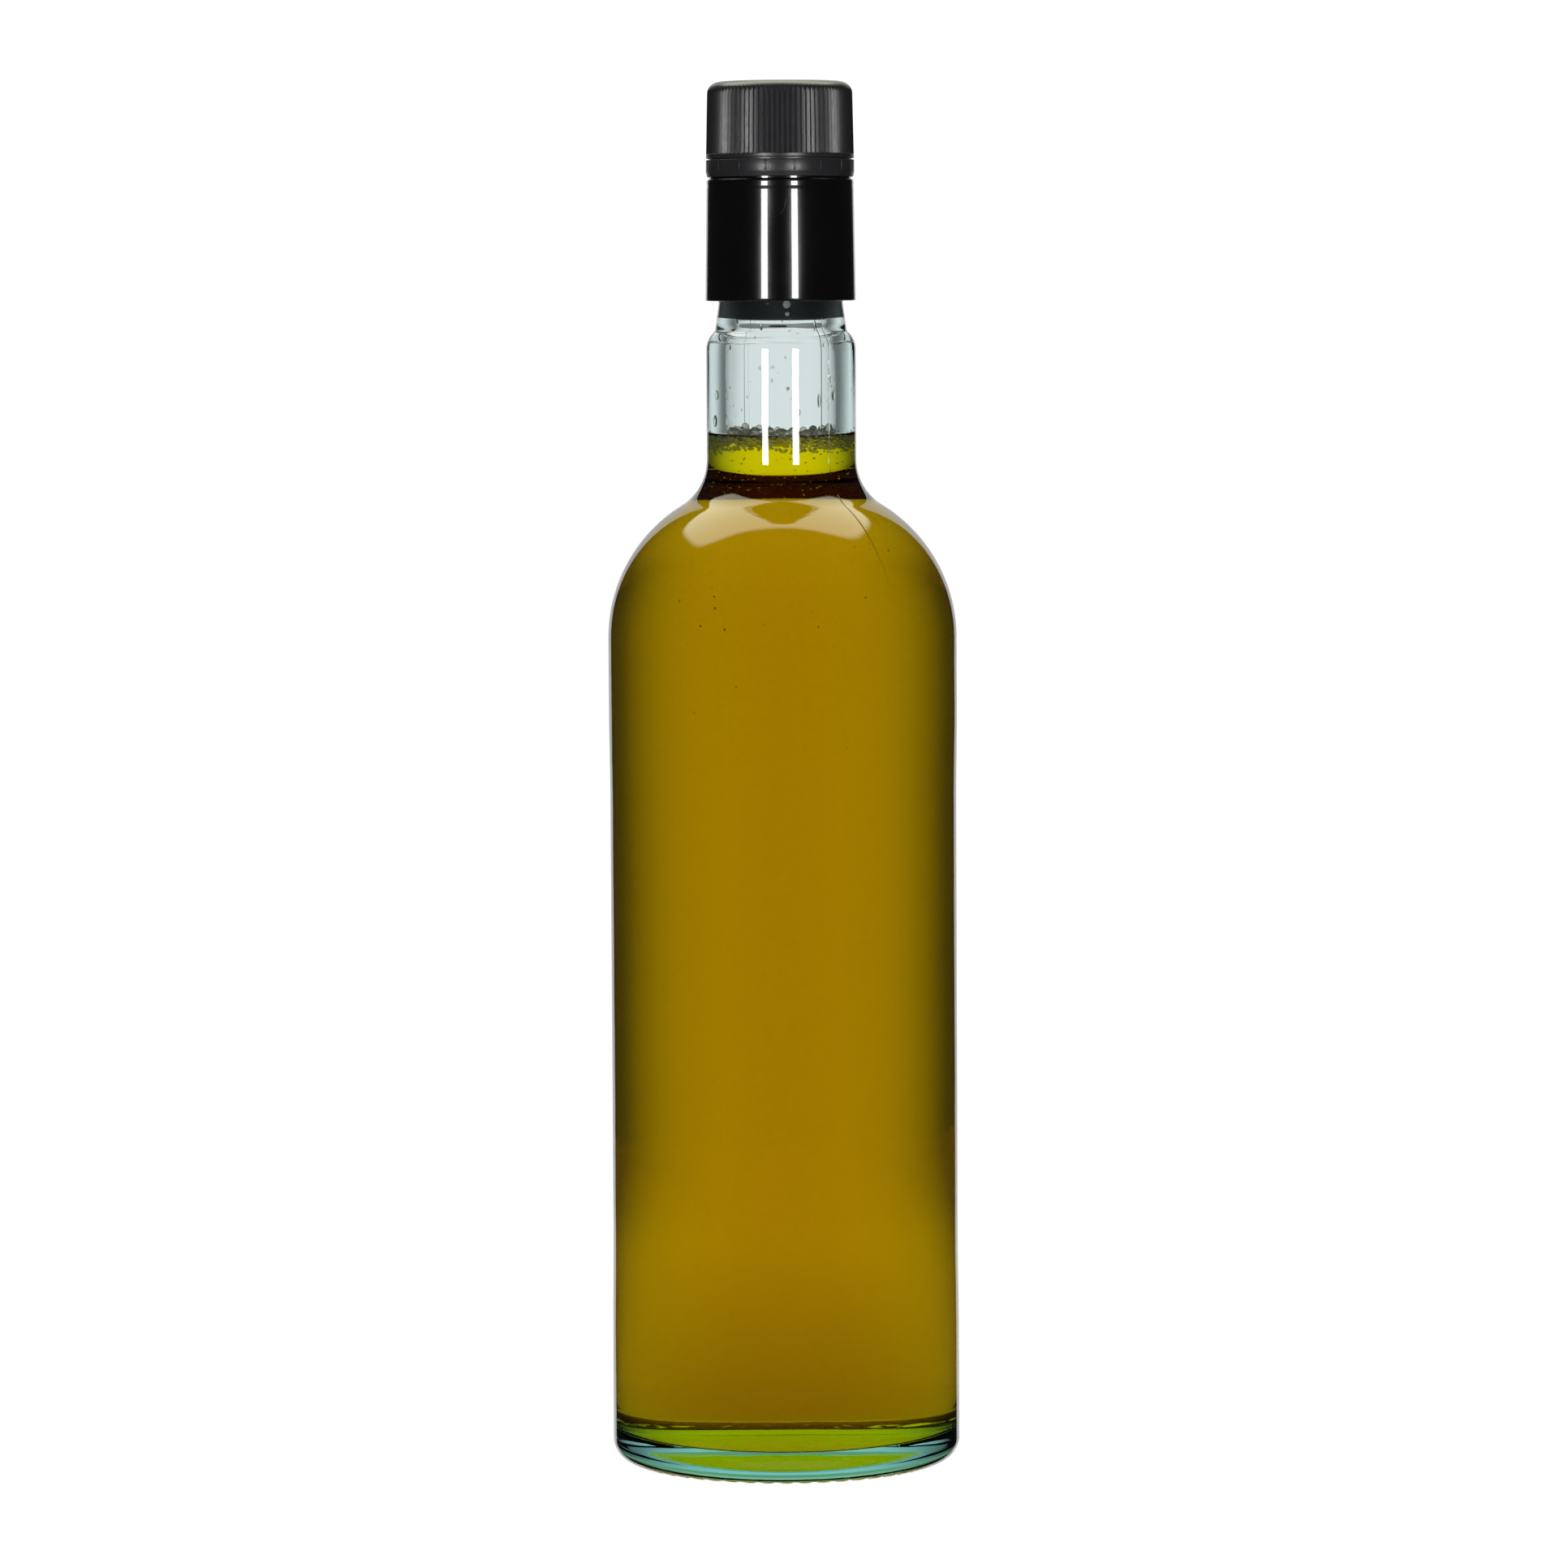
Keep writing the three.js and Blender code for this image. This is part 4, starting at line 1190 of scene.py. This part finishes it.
# %% Disc valve and ball
NOSE_Z, VALVE_RIM_Z, VALVE_R = span("valve_disc")
BALL_FOOT_Z, BALL_TOP_Z, BALL_R = span("valve_ball")
NOSE_R = SEAT_HOLE_R - 0.6
disc_low = SEAT_TOP_Z + 0.3
disc_high = disc_low + 1.5
rim_r = BALL_R + 0.7
disc_outline = [
    (0, NOSE_Z),
    *low_corner(NOSE_R, NOSE_Z, 0.4, 4),
    (NOSE_R, disc_low),
    *low_corner(VALVE_R, disc_low, SMALL_ROUND, 3),
    *high_corner(VALVE_R, disc_high, SMALL_ROUND, 3),
    (rim_r, disc_high),
    *high_corner(rim_r, VALVE_RIM_Z, SMALL_ROUND, 3),
    *inner_corner(rim_r - 0.8, VALVE_RIM_Z, SMALL_ROUND, 3),
    (rim_r - 0.8, disc_high),
    (0, disc_high),
]
valve_disc = turned("disc_valve", disc_outline, 96)
install(valve_disc, natural_plastic, "valve", "valve_disc")
ball_z = (BALL_FOOT_Z + BALL_TOP_Z) / 2
valve_ball = turned("ball", arc(0, ball_z, BALL_R, -90, 90, 32), 64, 60)
install(valve_ball, ball_glass, "ball", "valve_ball")

# %% Liner
PLUG_FOOT_Z, LINER_TOP_Z, LINER_R = span("cap_liner")
LINER_FOOT_Z = LINER_TOP_Z - 1.0
PLUG_R = SPOUT_BORE_R - 0.3
liner_outline = [
    (0, LINER_FOOT_Z),
    (PLUG_R - 1.0, LINER_FOOT_Z),
    (PLUG_R - 1.0, PLUG_FOOT_Z + 0.15),
    (PLUG_R - 0.85, PLUG_FOOT_Z),
    (PLUG_R - 0.3, PLUG_FOOT_Z),
    (PLUG_R, PLUG_FOOT_Z + 0.6),
    (PLUG_R, LINER_FOOT_Z),
    (LINER_R - 0.15, LINER_FOOT_Z),
    (LINER_R, LINER_FOOT_Z + 0.15),
    (LINER_R, LINER_TOP_Z - 0.15),
    (LINER_R - 0.15, LINER_TOP_Z),
    (0, LINER_TOP_Z),
]
cap_liner = turned("liner", liner_outline, CLOSURE_COLUMNS)
install(cap_liner, soft_seal, "liner", "cap_liner")

# %% [markdown]
# Two CAD nodes are right as they are, so they stay and only get their finish: the gasket, which
# is a flat ring clamped out of sight, and the flow guide with its four windows.

# %% Kept nodes
for node, material in (("neck_gasket", soft_seal), ("flow_guide", natural_plastic)):
    nodes[node].data.materials.clear()
    nodes[node].data.materials.append(material)
    print(node, "stays, in", material.name)

# %% [markdown]
# ## Foam, specks and droplets
#
# Where the oil was shaken, a collar of bubbles lies along the wall: big ones on top, small ones
# hanging below them. Fine bubbles float under the shoulder, droplets cling to the neck above the
# oil, and a little air is caught between the valve cage and the glass. A bubble is clear in the
# middle and dark at its rim, and that dark rim is painted shade: its colour darkens as the
# surface turns from the eye. Thin oil on the bubbles makes them slightly milky. All are copies of
# small icospheres with few faces, and their places come from seeded draws, the same on every run.

# %% Bubble helpers
def bead_template(name, subdivisions, flatness=1.0):
    """A ball of 1 mm radius at the origin, squashed along X."""
    deselect_all()
    bpy.ops.mesh.primitive_ico_sphere_add(subdivisions=subdivisions, radius=MM)
    bead = bpy.context.object
    bead.name = bead.data.name = name
    bpy.ops.object.mode_set(mode="EDIT")
    bpy.ops.transform.resize(value=(flatness, 1, 1), center_override=(0, 0, 0))
    return finish_mesh(bead, 80)


def at(angle, r, z, width, height=None):
    """A place for a bead at an angle in degrees, a radius and a height in mm, at a size."""
    turn = Matrix.Rotation(radians(angle), 4, "Z")
    move = Matrix.Translation((r * MM, 0, z * MM))
    size = Matrix.Diagonal((width, width, height or width, 1))
    return turn @ move @ size


def foam_finish():
    foam = Finish("foam_bubble", roughness=0.0, ior=1.4, transmission_weight=0.75)
    # Painted shade: the base colour darkens towards each bubble's rim as its surface turns from the
    # eye.
    painted_rim_shade = foam.fade(foam.facing(), 0.2, 0.65)
    foam.set("Base Color", foam.blend(painted_rim_shade, (1, 1, 0.9, 1), (0.42, 0.38, 0.14, 1)))
    return foam.material


def droplet_finish():
    droplet = Finish("oil_droplet", roughness=0.0, ior=OIL_IOR, transmission_weight=1.0)
    cloud = droplet.noise(1 * MM, detail=1.0)
    droplet.set("Base Color", droplet.blend(cloud, (0.93, 0.92, 0.62, 1), (1, 1, 1, 1)))
    return droplet.material


def painted_air_shine_finish():
    """Air caught under the glass, with its shine painted into its colour as a pale painted
    reflection.
    """
    painted_air_shine = Finish("trapped_air", ior=1.5, coat_weight=1.0)
    # Painted reflection: a pale colour in the middle, and painted shade where the surface turns
    # away at the rim.
    middle, painted_rim_shade = (0.86, 0.9, 0.88, 1), (0.25, 0.28, 0.27, 1)
    painted_air_shine.set("Base Color", painted_air_shine.blend(painted_air_shine.facing(), middle, painted_rim_shade))
    painted_air_shine.set("Roughness", 0.2 + 0.2 * painted_air_shine.noise(0.3 * MM))
    return painted_air_shine.material


foam_lens = foam_finish()
droplet_lens = droplet_finish()
painted_air_shine = painted_air_shine_finish()
print("bubble finishes:", foam_lens.name, droplet_lens.name, painted_air_shine.name)

# %% [markdown]
# The collar is laid in six rings from top to bottom. Each ring has its number of bubbles, its
# height over the oil in millimetres, and the radii of its smallest and its biggest bubble.

# %% Foam collar
draw = random.Random(750)
FOAM_LAYERS = (
    (34, 0.8, 0.6, 1.2),
    (90, 0.4, 0.42, 0.72),
    (104, -0.4, 0.36, 0.66),
    (116, -1.3, 0.3, 0.55),
    (112, -2.2, 0.26, 0.46),
    (64, -3.1, 0.18, 0.38),
)
FLOATING_BUBBLES = 40


def anywhere():
    """Any angle, in degrees."""
    return draw.uniform(0, 360)


def foam_places():
    places = []
    for layer, (count, lift, small, big) in enumerate(FOAM_LAYERS):
        for i in range(count):
            size = draw.uniform(small, big)
            angle = 360 * (i + draw.uniform(-0.4, 0.4)) / count
            sag = 0.5 * sin(radians(3 * angle + 40)) + draw.uniform(-0.4, 0.4)
            r = NECK_BORE_R - size * 0.92 - draw.uniform(0, 0.5) * (layer > 0)
            places.append(at(angle, r, FILL_Z + lift + sag, size))
    for i in range(FLOATING_BUBBLES):
        size = draw.uniform(0.5, 1.5)
        angle = anywhere()
        r = draw.uniform(1, NECK_BORE_R - 2.5)
        places.append(at(angle, r, FILL_Z - 0.2, size, size * 0.7))
    return places


foam = copies(bead_template("foam_template", 2), "foam_collar", foam_places())
install(foam, foam_lens, "bottle")

# %% [markdown]
# The specks are fine bubbles in the oil itself: most of them close under the shoulder's glass,
# some in the body, and some larger ones in the neck.

# %% Specks in the oil
SHOULDER_SPECKS = 420
BODY_SPECKS = 150
NECK_SPECKS = 90
THROAT_Z = 206


def speck_places():
    places = []
    for i in range(SHOULDER_SPECKS):
        z = THROAT_Z - 32 * abs(draw.gauss(0, 0.55))
        angle = anywhere()
        r = cavity_radius(z) - 0.5 - draw.expovariate(0.7)
        places.append(at(angle, r, z, draw.uniform(0.05, 0.14)))
    for i in range(BODY_SPECKS):
        z = draw.uniform(20, 190)
        places.append(at(anywhere(), draw.uniform(12, 34.5), z, draw.uniform(0.05, 0.11)))
    for i in range(NECK_SPECKS):
        z = draw.uniform(THROAT_Z + 1, FILL_Z - 3)
        places.append(at(anywhere(), draw.uniform(4, 11.6), z, draw.uniform(0.08, 0.28)))
    return places


specks = copies(bead_template("speck_template", 1), "oil_specks", speck_places())
install(specks, foam_lens, "bottle")

# %% [markdown]
# A few large droplets are listed, each by its angle, height, width and length, and small
# ones are strewn between them. All lie half in the wall of the bore, as drops that cling do.

# %% Droplets in the neck
LARGE_DROPLETS = (
    (-112, 247.6, 0.3, 0.9),
    (-50, 247.5, 0.22, 1.4),
    (196, 233.2, 0.7, 1.1),
    (192, 227.6, 0.8, 1.3),
    (-52, 232.0, 0.35, 1.5),
    (-38, 236.5, 0.3, 0.7),
    (-34, 233.0, 0.3, 1.0),
    (-74, 229.5, 0.5, 0.8),
)
SMALL_DROPLETS = 60
DROPLETS_TOP_Z = 251


def bore_radius(z):
    """Radius of the bore above the wide neck, where it narrows to the mouth."""
    t = min(1, max(0, (z - NECK_TOP_Z) / (BORE_FOOT_Z - NECK_TOP_Z)))
    share = t * t * (3 - 2 * t)
    return NECK_BORE_R + (MOUTH_BORE_R - NECK_BORE_R) * share


def droplet_places():
    places = []
    for angle, z, width, height in LARGE_DROPLETS:
        places.append(at(angle, bore_radius(z) - 0.1, z, width, height))
    for i in range(SMALL_DROPLETS):
        z = draw.uniform(FILL_Z + 3, DROPLETS_TOP_Z)
        size = draw.uniform(0.1, 0.28)
        angle = anywhere()
        places.append(at(angle, bore_radius(z) - 0.08, z, size, size * draw.uniform(1, 2.2)))
    return places


droplets = copies(bead_template("droplet_template", 3, 0.5), "neck_droplets", droplet_places())
install(droplets, droplet_lens, "bottle")

# %% Air between the cage and the glass
TRAPPED = (
    (-83.3, 252.6, 0.8, 0.95),
    (-82.8, 250.5, 0.5, 0.55),
    (-101, 251.2, 0.16, 0.9),
    (-66, 252.2, 0.2, 0.5),
)
trapped_places = [at(angle, PRESS_R - 0.1, z, width, height) for angle, z, width, height in TRAPPED]
trapped_air = copies(bead_template("trapped_template", 3, 0.4), "trapped_air", trapped_places)
install(trapped_air, painted_air_shine, "bottle")

# %% [markdown]
# ## The studio
#
# Glass is lit by what stands behind it. A bright curved screen behind the bottle shines through
# it, and fades towards its ends, which draws the dark edges of the oil. It runs on over the floor
# like a studio cove, a little darker near the bottle. Reflections see a narrower one, so that
# only the outermost rim of the glass is bright. The camera sees a third, plain white screen. Two
# narrow strip lights in front make the pair of bright lines on the neck and the sleeve, and a
# wide panel overhead makes the pale arch on the shoulder. Two small black cards keep the strips
# out of the shoulder. Everything except the pale floor hangs from the camera, so every view of
# the bottle is lit alike.

# %% Studio helpers
bpy.context.view_layer.update()
hang_point = camera.matrix_world.inverted()


def hang(thing):
    """Hangs a lamp or a screen from the camera, and leaves it where it is."""
    thing.parent = camera
    thing.matrix_parent_inverse = hang_point


def seen_by(thing, eye=False, glossy=False, transmission=False, diffuse=False, shadow=False):
    """Sets which rays meet a lamp or a screen: the eye's own, or those on their way to the eye."""
    thing.visible_camera = eye
    thing.visible_glossy = glossy
    thing.visible_transmission = transmission
    thing.visible_diffuse = diffuse
    thing.visible_shadow = shadow
    thing.visible_volume_scatter = False


def glow(name, strength, colour=(1, 1, 1, 1)):
    """A screen that shines and reflects nothing."""
    screen = Finish(name, roughness=1.0, specular_ior_level=0.0, emission_strength=strength)
    screen.set("Base Color", (0, 0, 0, 1))
    screen.set("Emission Color", colour)
    return screen


def rectangle(name, width, height, middle, turn):
    deselect_all()
    bpy.ops.mesh.primitive_plane_add(size=1, location=middle, rotation=turn)
    card = bpy.context.object
    card.name = name
    card.scale = (width, height, 1)
    return card


def disc(name, radius):
    deselect_all()
    bpy.ops.mesh.primitive_circle_add(vertices=96, radius=radius, fill_type="NGON")
    made = bpy.context.object
    made.name = name
    return made


# %% Screens and floor
SCREEN_R = 0.5
SCREEN_HEIGHT = 0.8
SCREEN_HALF_TURN = 75
SCREEN_DIM = 0.17
SCREEN_BRIGHT = 0.92
FADE_START = radians(8)
FADE_END = radians(57)
NEAR_START = 0.03
NEAR_END = 0.35
NEAR_SHADE = 0.4

screen = draw_outline("curved_screen", [(SCREEN_R / MM, 0), (SCREEN_R / MM, SCREEN_HEIGHT / MM)])
bpy.ops.mesh.select_all(action="SELECT")
bpy.ops.mesh.spin(steps=48, angle=radians(2 * SCREEN_HALF_TURN), center=(0, 0, 0), axis=(0, 0, -1))
bpy.ops.object.mode_set(mode="OBJECT")
screen.data.transform(Matrix.Rotation(radians(90 - SCREEN_HALF_TURN), 4, "Z"))
curved = glow("curved_screen", 1.0)
from_axis = (curved.part("X") ** 2 + curved.part("Y") ** 2) ** 0.5
across = abs(curved.part("X")) * 2 * (from_axis + SCREEN_R) ** -1
aside = across.math("ARCSINE", across)
fading = curved.fade(aside, FADE_START, FADE_END)
bright = (SCREEN_BRIGHT, SCREEN_BRIGHT, SCREEN_BRIGHT, 1)
dim = (SCREEN_DIM, SCREEN_DIM, SCREEN_DIM, 1)
black = (0, 0, 0, 1)
near = (1 - curved.fade(from_axis, NEAR_START, NEAR_END)) * NEAR_SHADE
curved.set("Emission Color", curved.blend(near, curved.blend(fading, bright, dim), black))
cove_floor = disc("cove_floor", SCREEN_R)
for part in (screen, cove_floor):
    part.data.materials.append(curved.material)
    seen_by(part, transmission=True, diffuse=True)
    hang(part)

# %% Screens for reflections and for the eye
MIRROR_HALF_TURN = radians(26)
MIRROR_HEIGHT = 1.1
MIRROR_STRENGTH = 0.8
WHITE_SIZE = 4
WHITE_STRENGTH = 1.1
UPRIGHT = (pi / 2, 0, 0)
mirror_width = 2 * SCREEN_R * sin(MIRROR_HALF_TURN)
mirror_middle = (0, SCREEN_R * cos(MIRROR_HALF_TURN), 0.25)
rim_screen = rectangle("rim_screen", mirror_width, MIRROR_HEIGHT, mirror_middle, UPRIGHT)
rim_screen.data.materials.append(glow("rim_screen", MIRROR_STRENGTH).material)
seen_by(rim_screen, glossy=True)
hang(rim_screen)

white_screen = rectangle("white_screen", WHITE_SIZE, WHITE_SIZE, (0, 1.2, 0.2), UPRIGHT)
white_screen.data.materials.append(glow("white_screen", WHITE_STRENGTH).material)
seen_by(white_screen, eye=True)
hang(white_screen)

FLOOR_R = 0.15
floor = disc("floor", FLOOR_R)
floor.data.materials.append(glow("pale_floor", 1.0).material)
seen_by(floor, eye=True)
print("screens:", screen.name, cove_floor.name, rim_screen.name, white_screen.name)

# %% Lamps
def panel(name, middle, turn, width, height, radiance):
    """An area light that shines with a given radiance, whatever its size."""
    lamp = bpy.data.lights.new(name, "AREA")
    lamp.shape = "RECTANGLE"
    lamp.size = width
    lamp.size_y = height
    lamp.energy = radiance * pi * width * height
    placed = bpy.data.objects.new(name, lamp)
    bpy.context.scene.collection.objects.link(placed)
    placed.location = middle
    placed.rotation_euler = turn
    seen_by(placed, glossy=True, diffuse=True)
    hang(placed)


STRIP_AZIMUTHS = (("left", radians(-24.5)), ("right", radians(22)))
STRIP_DISTANCE = 1.0
STRIP_WIDTH = 0.17
STRIP_LOW = 0.183
STRIP_HIGH = 0.345
STRIP_RADIANCE = 22
CARD_DISTANCE = 0.10
CARD_WIDTH = 0.044
CARD_LOW = 0.150
CARD_HIGH = 0.205

for side, azimuth in STRIP_AZIMUTHS:
    away = Vector((sin(azimuth), -cos(azimuth), 0))
    strip_middle = away * STRIP_DISTANCE + Vector((0, 0, (STRIP_LOW + STRIP_HIGH) / 2))
    facing = (pi / 2, 0, azimuth)
    strip_height = STRIP_HIGH - STRIP_LOW
    panel(side + "_strip", strip_middle, facing, STRIP_WIDTH, strip_height, STRIP_RADIANCE)
    card_middle = away * CARD_DISTANCE + Vector((0, 0, (CARD_LOW + CARD_HIGH) / 2))
    card = rectangle(side + "_card", CARD_WIDTH, CARD_HIGH - CARD_LOW, card_middle, facing)
    card.data.materials.append(glow("black_card", 0.0).material)
    seen_by(card, glossy=True, shadow=True)
    hang(card)

# %% [markdown]
# The panel overhead is a mesh with a glow that fades out at its rounded edges, because an area
# light has a hard edge. A second power of its place would round it to an ellipse, and the fourth
# keeps it close to a rectangle.

# %% Overhead softbox and room
OVERHEAD_WIDTH = 1.08
OVERHEAD_DEPTH = 0.72
OVERHEAD_MIDDLE = (-0.05, 0.34, 0.85)
OVERHEAD_RADIANCE = 3.4
WARM_WHITE = (1, 0.98, 0.78, 1)
ROOM_STRENGTH = 0.012
MOST_BOUNCES = 32

overhead = rectangle("overhead", OVERHEAD_WIDTH, OVERHEAD_DEPTH, OVERHEAD_MIDDLE, (0, 0, 0))
softbox = glow("overhead", OVERHEAD_RADIANCE)
towards_edge = (abs(softbox.part("X")) * 2) ** 4 + (abs(softbox.part("Y")) * 2) ** 4
beyond_edge = softbox.fade(towards_edge, 0.55, 1.0)
softbox.set("Emission Color", softbox.blend(beyond_edge, WARM_WHITE, black))
overhead.data.materials.append(softbox.material)
seen_by(overhead, glossy=True, diffuse=True)
hang(overhead)

world = bpy.data.worlds.new("dim_room")
bpy.context.scene.world = world
world.use_nodes = True
background = world.node_tree.nodes["Background"]
background.inputs["Color"].default_value = (1, 1, 1, 1)
background.inputs["Strength"].default_value = ROOM_STRENGTH
bpy.context.scene.view_settings.view_transform = "Standard"
bpy.context.scene.cycles.max_bounces = MOST_BOUNCES
bpy.context.scene.cycles.transmission_bounces = MOST_BOUNCES
